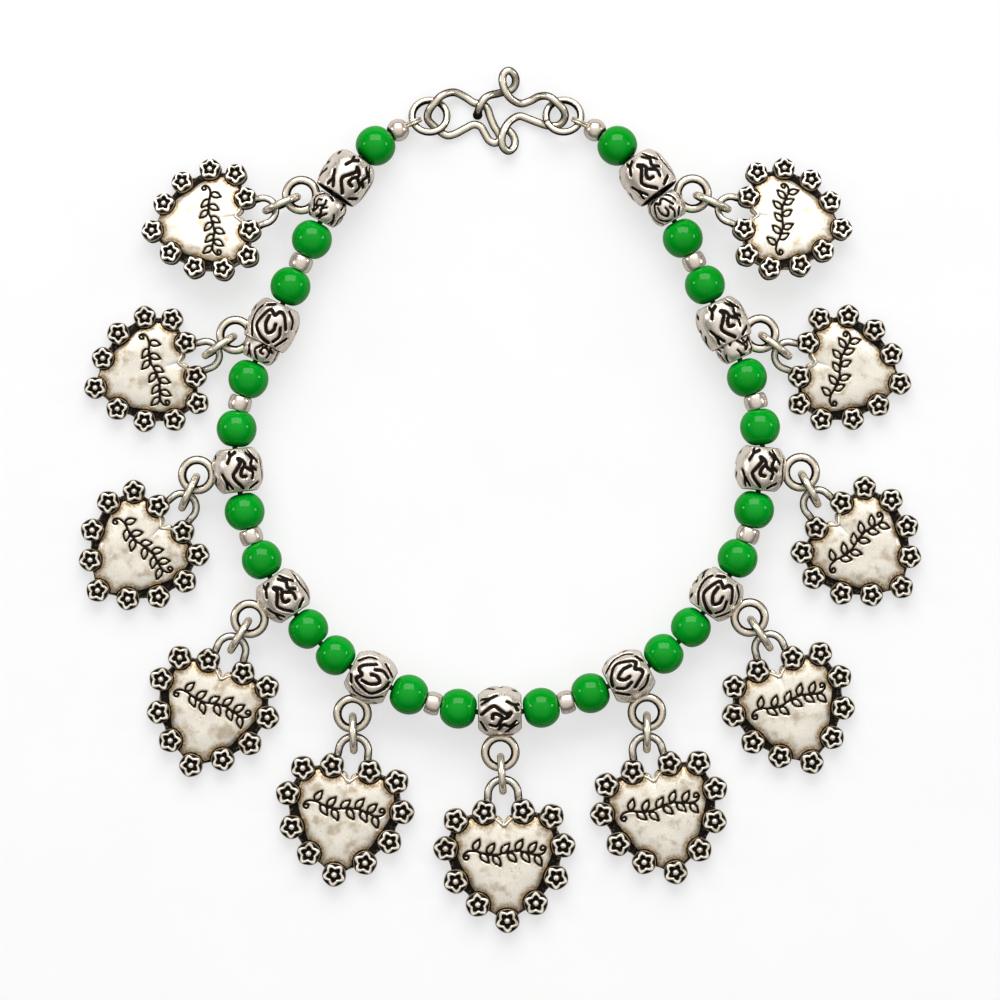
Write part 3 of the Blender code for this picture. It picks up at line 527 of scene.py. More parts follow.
def barrel_ends(half, rim, open_end):
    """Profile rows (r, h) over the top face, into the bore and out over the foot, each with its oxide and
    painted shade.

    The top face is dished. So is the foot, unless it is bored out as a mouth for the bead that nests in it.
    """
    top = [
        # radius, height, oxide and painted shade
        (rim - 0.25, half, 0.6),
        ((rim + BARREL_BORE_RADIUS) / 2, half - 0.05, 0.8),
        (BARREL_BORE_RADIUS, half - 0.1, 1.0),
    ]
    if not open_end:
        return np.array(top + [(r, -h, dark) for r, h, dark in top[::-1]])
    mouth, floor, fillet = OPEN_END_DIAMETER / 2 - 0.05, OPEN_END_DEPTH - half, 0.1
    return np.array(top + [
        (BARREL_BORE_RADIUS, floor, 1.0),
        (mouth - OPEN_END_TAPER - fillet, floor, 1.0),
        (mouth - OPEN_END_TAPER, floor + fillet, 1.0),
        (mouth - 0.03, 0.12 - half, 0.85),
        (mouth + 0.06, -half, 0.35),
    ])


# %% Carve a barrel
FAR_FROM_GROOVES = 9.0


def carved_barrel(length, diameter, shoulder, foot_shoulder, sides, rows, open_end=False):
    """The outside less its grooves' depth, closed over its ends.

    The carving shrinks with the diameter, and fades out before the lips.
    """
    heights, share, outside = barrel_outside(length, diameter, shoulder, foot_shoulder, rows)
    angles = np.arange(sides) * 2 * np.pi / sides
    shrunk = diameter / BARREL_DIAMETER
    nearest = np.full((rows, sides), FAR_FROM_GROOVES)
    for face, lines in CARVED_FACES:
        turn = (angles - np.radians(face) + np.pi) % (2 * np.pi) - np.pi
        around = -turn * BARREL_DIAMETER / 2
        on_face = np.broadcast_arrays(heights[:, None] / shrunk, around[None, :])
        nearest = np.minimum(nearest, distance_to_lines(*on_face, lines))
    groove = eased(nearest, GROOVE_HALF_WIDTH + GROOVE_SLOPE_OUT, GROOVE_HALF_WIDTH - GROOVE_SLOPE_IN)
    groove = groove * eased(share, 0.97, 0.9)[:, None]
    ends = barrel_ends(length / 2, outside[-1], open_end)
    end_radii, end_oxide_and_shade = (np.repeat(ends[:, k:k + 1], sides, axis=1) for k in (0, 2))
    radii = np.vstack([outside[:, None] - GROOVE_DEPTH * shrunk * groove, end_radii])
    # painted shade: a dark band round each lip, where the barrel meets its neighbour, with the oxide of the
    # grooves
    oxide = np.vstack([np.maximum(groove, 0.7 * eased(share, 0.94, 1.0)[:, None]), end_oxide_and_shade])
    stain = eased(nearest, GROOVE_HALF_WIDTH + GROOVE_STAIN, GROOVE_HALF_WIDTH)
    tarnish = np.vstack([0.5 * stain, np.full((len(ends), sides), 0.7)])
    return turned(radii, np.concatenate([heights, ends[:, 1]]), sides, oxide, tarnish)


plain_diameter, open_diameter = BARREL_DIAMETER - BARREL_TRIM, BARREL_DIAMETER - OPEN_BARREL_TRIM
barrel_patches = {
    # length, diameter, shoulder, foot shoulder, sides, rows, open end
    "barrel": carved_barrel(BARREL_LENGTH, plain_diameter, 0.33, 0.33, 190, 64),
    "open_barrel": carved_barrel(BARREL_LENGTH, open_diameter, 0.30, 0.15, 190, 64, True),
    "bail_bead": carved_barrel(BAIL_BEAD_LENGTH, BAIL_BEAD_DIAMETER, 0.28, 0.28, 110, 38),
}
barrel_patches["bail_bead_nested"] = barrel_patches["bail_bead"]
print({kind: len(patch["points"]) for kind, patch in barrel_patches.items()})


# %% Plain spacers and end balls
PLAIN_BORE_RADIUS, PLAIN_SIDES = 0.5, 48


def spacer():
    """A short round-edged tube, r = e + (D / 2 - e) (1 - s^2)^0.5, with ends dished for the beads."""
    half, edge = SPACER_LENGTH / 2 + SPACER_LIP, SPACER_END_DIAMETER / 2 + 0.1
    s = np.sin(np.linspace(-1, 1, 21) * np.pi / 2)
    dish = [(edge - 0.25, half - 0.04), (PLAIN_BORE_RADIUS, half - SPACER_LIP)]
    ends = np.array(dish + [(r, -h) for r, h in dish[::-1]])
    radii = np.concatenate([edge + (SPACER_DIAMETER / 2 - edge) * (1 - s ** 2) ** 0.5, ends[:, 0]])
    heights = np.concatenate([s * half, ends[:, 1]])
    # painted shade: darker towards the ends, where the spacer meets its beads
    oxide = np.concatenate([0.8 * eased(np.abs(s), 0.90, 1.0), [0.9, 1.0, 1.0, 0.9]])
    return turned(radii, heights, PLAIN_SIDES, oxide, 0.3)


def end_ball():
    """A ball, r^2 + h^2 = R^2, cut off flat where it is drilled."""
    radius, half = END_BALL_DIAMETER / 2, END_BALL_LENGTH / 2
    s = np.sin(np.linspace(-1, 1, 21) * np.pi / 2)
    radii = np.concatenate([np.sqrt(radius ** 2 - (s * half) ** 2), [PLAIN_BORE_RADIUS, PLAIN_BORE_RADIUS]])
    heights = np.concatenate([s * half, [half - 0.15, 0.15 - half]])
    # painted shade: darker towards the ends, besides the oxide in the bore
    oxide = np.concatenate([0.6 * eased(np.abs(s), 0.85, 1.0), [1.0, 1.0]])
    return turned(radii, heights, PLAIN_SIDES, oxide, 0.25)


plain_patches = {"spacer": spacer(), "end_ball": end_ball()}
print({kind: len(patch["points"]) for kind, patch in plain_patches.items()})

# %% [markdown]
# ## Rings and bent wire
#
# Links, bail rings and the clasp are round wire. A closed ring is worked out directly. Bent wire is a
# circle carried along a curve. A curve object with a bevel would bend it as well, but wouldn't say which
# side of the wire faces up. Here each point has its own level sideways direction, which is enough because
# none of these wires runs straight up. A link's two ends meet at a fine seam.


# %% Rings of wire
SEAM_WIDTH, SEAM_NIP = 0.07, 0.3


def shaded_and_unpolished(upward):
    """Painted shade and the dark skin that polishing left: none on top, and all of it on the flanks and
    below.
    """
    return eased(-upward, -0.95, -0.40)


def wire_ring(outer, wire, seam=None, lying=False, segments=56, sides=16):
    """Points ((A + b cos v) cos u, (A + b cos v) sin u, b sin v), where a seam nips b in over a short width.

    The inside stays dark, and so do the flanks: the rims of a ring that lies flat, or the sides of one that
    stands. That dark is left oxide with painted shade on it.
    """
    middle, thick = (outer - wire) / 2, wire / 2
    u = np.arange(segments) * 2 * np.pi / segments
    nip = np.zeros(segments)
    if seam is not None:
        u = np.unique(np.concatenate([u, np.radians(seam) + np.linspace(-0.05, 0.05, 5)]))
        nip = np.exp(-(((u - np.radians(seam)) * middle / SEAM_WIDTH) ** 2))
    v = np.arange(sides) * 2 * np.pi / sides
    b = (thick * (1 - SEAM_NIP * nip))[:, None]
    across = middle + b * np.cos(v)
    grid = np.stack([across * np.cos(u)[:, None], across * np.sin(u)[:, None], b * np.sin(v)], axis=-1)
    # painted shade: the inside of the ring and its flanks are darkened in both masks, over the oxide left
    # there
    inside = eased(-np.cos(v), -0.1, 0.9)
    flanks = shaded_and_unpolished(np.abs(np.sin(v))) if lying else 0.85 * eased(np.abs(np.sin(v)), 0.62, 0.95)
    dark = np.maximum(inside, flanks)[None, :]
    return closed_surface(grid, True, np.maximum(0.9 * dark ** 1.2, nip[:, None]), 0.05 + 0.95 * dark)


# %% Wire along a curve
CAP_DEGREES = (14.0, 38.0, 64.0)
WIRE_STEP = 0.3


def bent_wire(path, thickness, sides, closed):
    """Centre + (b / 2) (side cos a + lift sin a) along a path. An open wire gets a round cap at both ends."""
    if closed:
        ahead = unit(np.roll(path, -1, axis=0) - np.roll(path, 1, axis=0))
    else:
        ahead = unit(np.gradient(path, axis=0))
    radius = np.broadcast_to(np.asarray(thickness) / 2, len(path)).copy()
    if not closed:
        cap = np.radians(CAP_DEGREES)
        first = path[0] - ahead[0] * radius[0] * np.cos(cap)[:, None]
        last = path[-1] + ahead[-1] * radius[-1] * np.cos(cap[::-1])[:, None]
        path = np.vstack([first, path, last])
        ahead = np.vstack([ahead[[0] * len(cap)], ahead, ahead[[-1] * len(cap)]])
        radius = np.concatenate([radius[0] * np.sin(cap), radius, radius[-1] * np.sin(cap[::-1])])
    side = unit(np.cross(ahead, UP))
    lift = np.cross(side, ahead)
    a = (np.arange(sides) * 2 * np.pi / sides)[None, :, None]
    outward = side[:, None] * np.cos(a) + lift[:, None] * np.sin(a)
    return path[:, None] + radius[:, None, None] * outward, outward


def lying_wire(path, thickness, sides, closed):
    """A wire that lies flat. Its top is polished, and its flanks and underside keep their dark skin and take
    painted shade.
    """
    grid, outward = bent_wire(path, thickness, sides, closed)
    dark = shaded_and_unpolished(outward[..., 2])
    return closed_surface(grid, closed, 0.95 * dark, 0.05 + 0.95 * dark)


# %% [markdown]
# ## A heart charm
#
# Each charm is one casting: a thin web, a domed heart on it, eleven five-petalled flowers round its rim and
# a loop whose feet run down into the two upper flowers. A sculpted mesh could follow every dent, but
# casting gives soft and regular edges, so the flowers are smooth surfaces whose radius swings five times
# round. The front of the heart carries an engraved sprig of leaves, cut as fine dark lines.

# %% Sizes of the charm, in millimetres, with its back at zero and its loop towards +Y
HEART_WIDTH, HEART_HEIGHT, PLATE_WIDTH = 14.0, 12.7, 14.6
PLATE_EDGE_HEIGHT, PLATE_DOME, PLATE_BACK_HEIGHT = 1.45, 0.78, 0.9
FLOWER_SPOTS = np.array([
    (-0.41, 1.12), (0.41, 1.12), (1.03, 0.98), (1.26, 0.28), (1.09, -0.47), (0.64, -1.06), (0.02, -1.46),
    (-0.60, -1.06), (-1.06, -0.50), (-1.26, 0.28), (-1.03, 0.94),
]) * [HEART_WIDTH / 2, HEART_HEIGHT / 2]
STAR_INNER, STAR_OUTER, FLOWER_RIM, SOLID_FLOWER_RADIUS = 1.01, 1.50, 1.82, 1.9
WEB_THICKNESS, WEB_AT_FLOWER, WEB_BETWEEN, WEB_AT_CLEFT = 1.2, 1.03, 1.01, 0.74
CHARM_LOOP_DIAMETER, CHARM_LOOP_WIRE, CHARM_LOOP_DISTANCE = 5.7, 1.2, 9.7
print(len(FLOWER_SPOTS), "flowers round a heart")


# %% One flower
def flower():
    """Rows of r(a), z from the middle ball out over a star ridge, r = R (1 + k w), and down the petals' wall.

    The wave w swings five times round, and asin(0.92 cos 5a) straightens it so that the star has flat sides.
    """
    a = np.arange(60) * 2 * np.pi / 60 + np.pi / 2
    swing = np.cos(5 * (a - np.pi / 2))
    wave = np.arcsin(0.92 * swing) / np.arcsin(0.92)
    inner = STAR_INNER * (1 + 0.20 * wave)
    outer = STAR_OUTER * (1 + 0.18 * wave)
    rim = FLOWER_RIM * (1 + 0.02 * swing)
    none = np.zeros_like(a)
    rows = [
        # radius, height, oxide, tarnish
        (none + 0.14, 2.74, -0.30, 0.0),
        (none + 0.32, 2.66, -0.30, 0.0),
        (none + 0.43, 2.46, 0.10, 0.2),
        (none + 0.48, 2.14, 1.00, 1.0),
        (inner - 0.20, 2.10, 1.10, 1.0),
        (inner - 0.06, 2.30, 1.00, 1.0),
        (inner + 0.01, 2.60, 0.10, 0.4),
        (inner + 0.08, 2.75, -0.30, 0.0),
        ((inner + outer) / 2, 2.79, -0.30, 0.0),
        (outer - 0.09, 2.75, -0.30, 0.0),
        (outer - 0.01, 2.60, 0.00, 0.3),
        (outer + 0.03, 2.30, 1.00, 1.0),
        (np.maximum(rim - 0.16, outer + 0.04), 2.22, 0.95, 1.0),
        # painted highlight: the outer rim is left bright, on its polished edge
        (np.maximum(rim - 0.05, outer + 0.05), 2.12, 0.10, 0.7),
        (np.maximum(rim, outer + 0.06), 1.90, 0.25, 0.9),
        (rim, 1.20, 0.85, 1.0),
        (rim * 0.97, 0.50, 0.70, 1.0),
        (rim * 0.86, 0.06, 0.60, 0.9),
    ]
    grid = np.stack([
        np.column_stack([r * np.cos(a), r * np.sin(a), np.full_like(a, z)]) for r, z, _, _ in rows
    ])
    oxide, tarnish = (np.array([row[k] for row in rows])[:, None] for k in (2, 3))
    return closed_surface(grid, False, oxide, tarnish)


# %% The heart's outline, dome and engraved sprig
def heart_edges(x):
    """Upper and lower y of the plate: the lobes of the heart curve over the parabola 9.7 (s^2 - 1) + 1.1.

    The lobes are (13 cos t - 5 cos 2t - 2 cos 3t - cos 4t + 2.5) / 29 of the height, where sin^3 t is the
    share s of the half width. A bell curve fills their cleft.
    """
    share = np.clip(np.abs(x) / (PLATE_WIDTH / 2), 0, 1)
    t = np.arcsin(share ** (1 / 3))
    lobes = 13 * np.cos(t) - 5 * np.cos(2 * t) - 2 * np.cos(3 * t) - np.cos(4 * t)
    upper = (lobes + 2.5) / 29 * HEART_HEIGHT
    return upper + 1.75 * np.exp(-((x / 1.7) ** 2)), 9.7 * (share ** 2 - 1) + 1.1


LEAF_LENGTH, LEAF_WIDTH, SPRIG_HEIGHT = 1.9, 0.5, 0.9
SPRIG_STEM = [
    # from the curled tip on the right to the one on the left
    (5.9, 0.35), (5.45, 0.25), (5.5, 0.8), (6.0, 0.85), (6.2, 0.3), (5.6, -0.3), (4.4, -0.35), (2.9, 0.1),
    (1.4, 0.25), (0.0, 0.0), (-1.4, -0.25), (-2.9, -0.1), (-4.4, 0.35), (-5.6, 0.3), (-6.2, -0.3),
    (-6.0, -0.85), (-5.5, -0.8), (-5.45, -0.25), (-5.9, -0.35),
]
SPRIG_LEAVES = [
    # x, y, degrees
    (-4.6, 0.45, 62), (-2.6, -0.05, 54), (-0.5, 0.0, 48), (1.7, 0.35, 56), (3.6, 0.0, 50),
    (-3.6, 0.05, -50), (-1.7, -0.35, -56), (0.5, 0.0, -48), (2.6, 0.05, -54), (4.6, -0.45, -62),
]


def leaf(x, y, degrees):
    """The edge of a leaf: out and back along s, w sin(pi s^0.8) to either side of its middle line."""
    s = np.linspace(0, 1, 7)
    way, aside = heading(degrees)[:2], heading(degrees + 90)[:2]
    middle = np.array([x, y]) + s[:, None] * LEAF_LENGTH * way
    bulge = LEAF_WIDTH * np.sin(np.pi * s ** 0.8)[:, None] * aside
    return [middle + bulge, middle - bulge]


sprig = [smooth_curve(SPRIG_STEM, False, LINE_STEP)]
for spot in SPRIG_LEAVES:
    sprig += leaf(*spot)
sprig = [line + [0.0, SPRIG_HEIGHT] for line in sprig]
print(len(sprig), "engraved lines in the sprig")


# %% The plate
PLATE_COLUMNS, PLATE_ROWS, SPRIG_DEPTH = 128, 100, 0.16


def border_of(rows, columns):
    """The grid's edge points, in order round it, against the sense of its faces."""
    ids = np.arange(rows * columns).reshape(rows, columns)
    return np.concatenate([ids[0, :-1], ids[:-1, -1], ids[-1, :0:-1], ids[:0:-1, 0]])


def closed_plate(top, oxide, tarnish):
    """Close a grid that is open on all sides with a skirt down to a level back, fanned from its middle."""
    rows, columns = top.shape[:2]
    points, border = top.reshape(-1, 3), border_of(rows, columns)
    i, j = np.meshgrid(np.arange(rows - 1), np.arange(columns - 1), indexing="ij")
    corner = (i * columns + j).reshape(-1)
    low = len(points) + np.arange(len(border))
    hub = np.full(len(border), len(points) + len(border))
    faces = [
        np.column_stack([corner, corner + 1, corner + columns + 1, corner + columns]),
        np.column_stack([border, low, np.roll(low, -1), np.roll(border, -1)]),
        np.column_stack([low, hub, np.roll(low, -1)]),
    ]
    skirt = points[border] * [1, 1, 0] + [0, 0, PLATE_BACK_HEIGHT]
    points = np.vstack([points, skirt, [[0.0, 0.5, PLATE_BACK_HEIGHT]]])
    masks = [np.concatenate([mask.reshape(-1), np.ones(len(border) + 1)]) for mask in (oxide, tarnish)]
    return {"points": points, "faces": facing_out(points, faces), "oxide": masks[0], "tarnish": masks[1]}


def heart_plate():
    """z = 1.45 + 0.78 (1 - u^4) (1 - v^4)^0.8 over columns of the heart, less the sprig's cuts.

    A slow wave is what the master's file left. Oxide fills the cuts. Round the feet of the flowers the black
    is oxide in the crevice with painted shadow in the gap.
    """
    u = np.sin(np.linspace(-1, 1, PLATE_COLUMNS) * 1.2) / np.sin(1.2) * 0.998
    v = (np.sin(np.linspace(-1, 1, PLATE_ROWS) * 1.25) / np.sin(1.25))[:, None]
    upper, lower = heart_edges(u * PLATE_WIDTH / 2)
    y = (upper + lower) / 2 + v * (upper - lower) / 2
    u, v = np.broadcast_arrays(u, v)
    x = u * PLATE_WIDTH / 2
    line = distance_to_lines(x, y, sprig)
    petal = np.linalg.norm(np.stack([x, y], -1)[..., None, :] - FLOWER_SPOTS, axis=-1).min(-1)
    cut = eased(line, 0.25, 0.10)
    z = PLATE_EDGE_HEIGHT + PLATE_DOME * (1 - u ** 4) * (1 - v ** 4) ** 0.8
    z = z + 0.03 * np.sin(1.1 * y + 0.7) * np.cos(6.3 * u + 0.3) * (1 - v ** 4) - SPRIG_DEPTH * cut
    # painted shadow: black round the feet of the flowers, over the oxide in the crevice
    oxide = np.maximum(cut, 0.9 * eased(petal, 2.25, 1.9))
    tarnish = np.maximum(1.25 * eased(petal, 3.2, 2.1), 0.75 * eased(line, 0.6, 0.15))
    return closed_plate(np.stack([x, y, z], axis=-1), oxide, tarnish)


# %% Web, loop and the whole charm
LINK_OUTER_DIAMETER, LINK_WIRE, LINK_CLEARANCE, FLOOR_GAP = 6.3, 1.1, 0.22, 0.05
SMALLEST_CHARM = 0.89
LOOP_HEIGHT = (FLOOR_GAP + LINK_WIRE + LINK_CLEARANCE) / SMALLEST_CHARM + CHARM_LOOP_WIRE / 2
LOOP_LEGS = np.array([
    # across, up and height: from inside the flower's wall to the foot of the arch
    (2.5, 7.6, 1.3), (2.36, 8.5, 1.38), (2.28, 9.2, LOOP_HEIGHT - 0.3),
])
CLEFT_RIDGE = [(-1.45, 6.1, 1.5), (-0.8, 5.65, 1.75), (0.0, 5.0, 1.95), (0.8, 5.65, 1.75), (1.45, 6.1, 1.5)]
CLEFT_RIDGE_WIRE, FINE_STEP, WEB_STEP = 0.55, 0.2, 0.5
print("a link on the table passes under a loop that is cast", round(LOOP_HEIGHT, 2), "mm high")


def web():
    """A slab under the flowers. Its edge runs out to each flower and in between two, in smooth scallops."""
    before = np.roll(FLOWER_SPOTS, 1, axis=0)
    pulled_in = np.full((len(FLOWER_SPOTS), 1), WEB_BETWEEN)
    pulled_in[1] = WEB_AT_CLEFT
    between = (before + FLOWER_SPOTS) / 2 * pulled_in
    outline = np.stack([between, FLOWER_SPOTS * WEB_AT_FLOWER], axis=1).reshape(-1, 2)
    outline = smooth_curve(outline, True, WEB_STEP)
    rows = [
        # share of the outline, height, oxide
        (0.40, 0.0, 0.35),
        (0.97, 0.0, 0.40),
        (1.00, 0.08, 0.50),
        (1.00, WEB_THICKNESS - 0.2, 0.45),
        (0.97, WEB_THICKNESS, 0.62),
        (0.40, WEB_THICKNESS, 0.90),
    ]
    grid = np.stack([np.column_stack([outline * share, np.full(len(outline), z)]) for share, z, _ in rows])
    return closed_surface(grid, False, np.array([row[2] for row in rows])[:, None], 1.0)


def charm_loop():
    """An arch: a half circle about the loop's middle, with legs that run down into the two upper flowers."""
    radius = (CHARM_LOOP_DIAMETER - CHARM_LOOP_WIRE) / 2
    middle = np.array([0.0, CHARM_LOOP_DISTANCE, LOOP_HEIGHT])
    a = np.radians(np.linspace(0, 180, 13))[:, None]
    bend = middle + radius * (np.cos(a) * [1, 0, 0] + np.sin(a) * [0, 1, 0])
    path = smooth_curve(np.vstack([LOOP_LEGS, bend, LOOP_LEGS[::-1] * [-1, 1, 1]]), False, WIRE_STEP)
    grid, outward = bent_wire(path, CHARM_LOOP_WIRE, 14, False)
    towards_middle = unit(middle - grid.mean(axis=1))[:, None]
    inward = (outward * towards_middle).sum(-1)
    # painted shade: the loop darkens where it faces down, sideways and inwards, over the oxide left there
    dark = np.maximum(shaded_and_unpolished(outward[..., 2]), eased(inward, 0.35, 0.95))
    return closed_surface(grid, False, 0.95 * dark, 0.1 + 0.9 * dark)


def cleft_ridge():
    """The cast ridge that edges the cleft in a V between the two upper flowers."""
    grid, outward = bent_wire(smooth_curve(CLEFT_RIDGE, False, FINE_STEP), CLEFT_RIDGE_WIRE, 10, False)
    # painted shade: the ridge darkens where it faces down
    return closed_surface(grid, False, 0.8 * eased(-outward[..., 2], -0.5, 0.3), 0.5)


def heart_charm():
    """All patches of one charm, in its own millimetres."""
    patches = [web(), heart_plate(), charm_loop(), cleft_ridge()]
    flower_patch = flower()
    for spot in FLOWER_SPOTS:
        outward = np.append(unit(spot), 0.0)
        place = place_of([*spot, 0.0], np.cross(outward, UP), outward, UP)
        patches.append(moved(flower_patch, place))
    return patches


charm_patches = heart_charm()
charm_blocks = [block for patch in charm_patches for block in patch["faces"]]
print("one charm has", sum((block.shape[1] - 2) * len(block) for block in charm_blocks), "triangles")

# %% [markdown]
# ## How each charm hangs
#
# A link stands on the table through its bail ring and through the charm's loop. A rigid body simulation
# could drop the charms, but they would fall differently from the real ones. So the link's heading, the
# heart's own heading and the slack in the link are read charm by charm, as they fell. The two charms next
# to the clasp lean a little, so their lowest edge is found first and set on the table.

# %% How the charms lie
CHARMS = [
    # name, side, ring number, link heading, heart heading, sag, casting size, lean along, lean across
    ("centre", 0, 0, -86.0, -88.5, 0.3, 1.000, 0.0, 0.0),
    ("left_1", -1, 1, -88.0, -99.4, 0.9, 0.985, 0.0, 0.0),
    ("right_1", 1, 1, -90.0, -77.3, 0.8, 0.985, 0.0, 0.0),
    ("left_2", -1, 2, -121.0, -109.8, 1.0, 0.960, 0.0, 0.0),
    ("right_2", 1, 2, -56.0, -70.0, 1.0, 0.960, 0.0, 0.0),
    ("left_3", -1, 3, -115.0, -135.9, 1.1, 0.935, 0.0, 0.0),
    ("right_3", 1, 3, -62.0, -45.0, 1.1, 0.935, 0.0, 0.0),
    ("left_4", -1, 4, -146.0, -164.0, 1.0, 0.910, 0.0, 0.0),
    ("right_4", 1, 4, -38.0, -14.4, 1.0, 0.910, 0.0, 0.0),
    ("left_5", -1, 5, -156.0, -170.8, 0.4, 0.890, 5.0, -14.0),
    ("right_5", 1, 5, -24.0, -9.7, 0.4, 0.890, 5.0, 14.0),
]
BAIL_OUTER_DIAMETER, BAIL_WIRE, BAIL_DROOP = 5.8, 1.3, 4.0
BAIL_SINK_BARREL, BAIL_SINK_BEAD = 0.8, 1.3
print(len(CHARMS), "charms")


def bail_place(kind, side, origin, forward):
    """A bail ring's place: on the outer side of its barrel, drooping a little, with its own axis along Y."""
    reach = (BARREL_DIAMETER + BAIL_OUTER_DIAMETER) / 2 - BAIL_SINK_BARREL
    if kind != "barrel":
        reach = (BAIL_BEAD_DIAMETER + BAIL_OUTER_DIAMETER) / 2 - BAIL_SINK_BEAD
    way = side or 1
    outward = unit(np.array([forward[1] * way, -forward[0] * way, 0.0]))
    drooped = turned_about(forward, BAIL_DROOP * way) @ outward
    upright = np.cross(forward, drooped)
    return place_of(origin + drooped * reach, drooped, forward, -upright)


bail_places = {}
for kind, side, ring_number, origin, forward in string_rows:
    if ring_number is not None:
        bail_places[side, ring_number] = bail_place(kind, side, origin, forward)
back_corners = np.array([
    [*spot, 0.0] + SOLID_FLOWER_RADIUS * (turned_about(UP, 72.0 * k) @ [*unit(spot), 0.0])
    for spot in FLOWER_SPOTS for k in range(5)
])
print(len(bail_places), "bail rings")


def chain_reach(offset):
    """How far from a link's middle its wire runs, at a height above or below that middle."""
    radius = (LINK_OUTER_DIAMETER - LINK_WIRE) / 2
    return np.sqrt(radius ** 2 - offset ** 2)


def hang_charm(row):
    """The places of a charm's link and of its casting, from its bail ring outwards."""
    name, side, number, link_angle, heart_angle, sag, size, lean_along, lean_across = row
    ring_middle = bail_places[side, number][:3, 3]
    ring_play = BAIL_OUTER_DIAMETER / 2 - BAIL_WIRE - LINK_WIRE / 2 - LINK_CLEARANCE
    loop_play = size * (CHARM_LOOP_DIAMETER / 2 - CHARM_LOOP_WIRE) - LINK_WIRE / 2 - LINK_CLEARANCE
    turn = turned_about(UP, heart_angle + 90.0) @ turned_about([1, 0, 0], lean_along)
    attitude = turn @ turned_about([0, 1, 0], lean_across) * size
    loop_local = np.array([0.0, CHARM_LOOP_DISTANCE, LOOP_HEIGHT])
    loop_height = (attitude @ loop_local)[2] - (back_corners @ attitude.T)[:, 2].min()
    link_height = max(LINK_OUTER_DIAMETER / 2 + FLOOR_GAP, (ring_middle[2] + loop_height) / 2)
    link_way = heading(link_angle)
    entry = ring_middle + link_way * (ring_play - sag / 2)
    link_middle = entry + link_way * chain_reach(entry[2] - link_height)
    link_middle[2] = link_height
    loop_middle = link_middle + link_way * chain_reach(loop_height - link_height)
    loop_middle = loop_middle + heading(heart_angle) * (loop_play - sag / 2)
    loop_middle[2] = loop_height
    charm_place = np.eye(4)
    charm_place[:3, :3] = attitude
    charm_place[:3, 3] = loop_middle - attitude @ loop_local
    return place_of(link_middle, link_way, UP, np.cross(link_way, UP)), charm_place


hung = {row[0]: hang_charm(row) for row in CHARMS}
gaps = []
for name, (link_place, _) in hung.items():
    solid_middle = np.mean(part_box(f"jump_link_{name}"), axis=0) / MM
    gaps.append(np.abs(solid_middle - SHIFT - link_place[:3, 3]).max())
print("the worst link is", round(float(max(gaps)), 4), "mm from its solid")

# %% [markdown]
# ## The clasp
#
# The eye and the hook are each one wire, bent with pliers and passed through its own ring. Arcs and
# straight runs could be joined end to end, but no bend of a plier's work is a true arc. So the bends are
# read along the span between the two rings, and across it and above the table in thicknesses of the wire,
# and a smooth curve through them gives the spring of real wire.

# %% Bends of the two wires
CLASP_WIRE, CLASP_TURN, HOOK_TIP_DIAMETER, HOOK_TAPER = 1.2, 66.0, 1.5, 0.35
END_RING_DIAMETER, END_RING_WIRE, END_RING_TILT, END_RING_HEIGHT, END_LOOP_PLAY = 6.3, 1.1, 20.0, 1.72, 0.15
EYE_BENDS = np.array([
    # along, across, height
    (-0.015, 0.10, 1.20), (0.000, 0.80, 1.60), (0.035, 1.55, 1.90), (0.090, 2.50, 1.95),
    (0.185, 3.00, 1.00), (0.265, 2.45, 0.55), (0.335, 1.70, 0.55), (0.395, 1.55, 0.55),
    (0.430, 1.05, 0.55), (0.450, 0.10, 0.55), (0.482, -1.20, 0.55), (0.518, -2.15, 0.55),
    (0.528, -2.85, 0.55), (0.490, -3.30, 0.55), (0.447, -3.00, 0.55), (0.413, -2.10, 0.55),
    (0.380, -1.25, 0.55), (0.330, -1.00, 0.55), (0.265, -1.50, 0.55), (0.190, -2.15, 0.55),
    (0.130, -2.35, 0.55), (0.070, -1.75, 0.58), (0.020, -1.00, 0.70), (-0.010, -0.45, 0.95),
])
HOOK_BENDS = np.array([
    # along, across, height
    (0.641, 0.20, 0.72), (0.636, 0.60, 1.32), (0.624, 1.20, 1.84), (0.606, 1.80, 1.95),
    (0.580, 2.30, 1.80), (0.545, 2.62, 1.45), (0.500, 2.82, 0.92), (0.450, 3.05, 0.56),
    (0.400, 3.25, 0.56), (0.366, 3.80, 0.66), (0.356, 4.60, 1.00), (0.376, 5.34, 1.45),
    (0.410, 5.67, 1.72), (0.444, 5.30, 1.84), (0.456, 4.55, 1.86), (0.448, 3.75, 1.88),
    (0.430, 3.00, 1.86), (0.390, 2.15, 1.45), (0.318, 1.60, 0.80), (0.247, 1.95, 0.62),
    (0.185, 2.45, 1.00), (0.110, 2.40, 1.85), (0.045, 1.60, 1.95), (0.000, 0.75, 1.60),
    (-0.012, 0.10, 1.20), (0.000, -0.55, 0.85), (0.040, -1.10, 0.65), (0.110, -1.15, 0.55),
    (0.190, -0.75, 0.55), (0.260, -0.30, 0.55), (0.326, 0.05, 0.60), (0.380, -0.35, 1.00),
    (0.425, -1.15, 1.62), (0.452, -2.10, 1.95), (0.462, -3.05, 1.95), (0.450, -3.90, 1.75),
    (0.412, -4.35, 1.30), (0.374, -3.90, 0.90), (0.362, -3.10, 0.62), (0.378, -2.30, 0.56),
    (0.408, -1.75, 0.56),
])
print(len(EYE_BENDS), "bends in the eye and", len(HOOK_BENDS), "in the hook")


def bends_in_place(bends, own_ring, other_ring):
    """Read a wire's bends from its own ring: along the level span, across it and up, in wire thicknesses."""
    span = (other_ring - own_ring) * [1, 1, 0]
    across = unit(np.array([-span[1], span[0], 0.0])) * (-1 if span[0] < 0 else 1)
    along, aside, height = bends.T[..., None]
    return own_ring * [1, 1, 0] + along * span + aside * CLASP_WIRE * across + height * CLASP_WIRE * UP


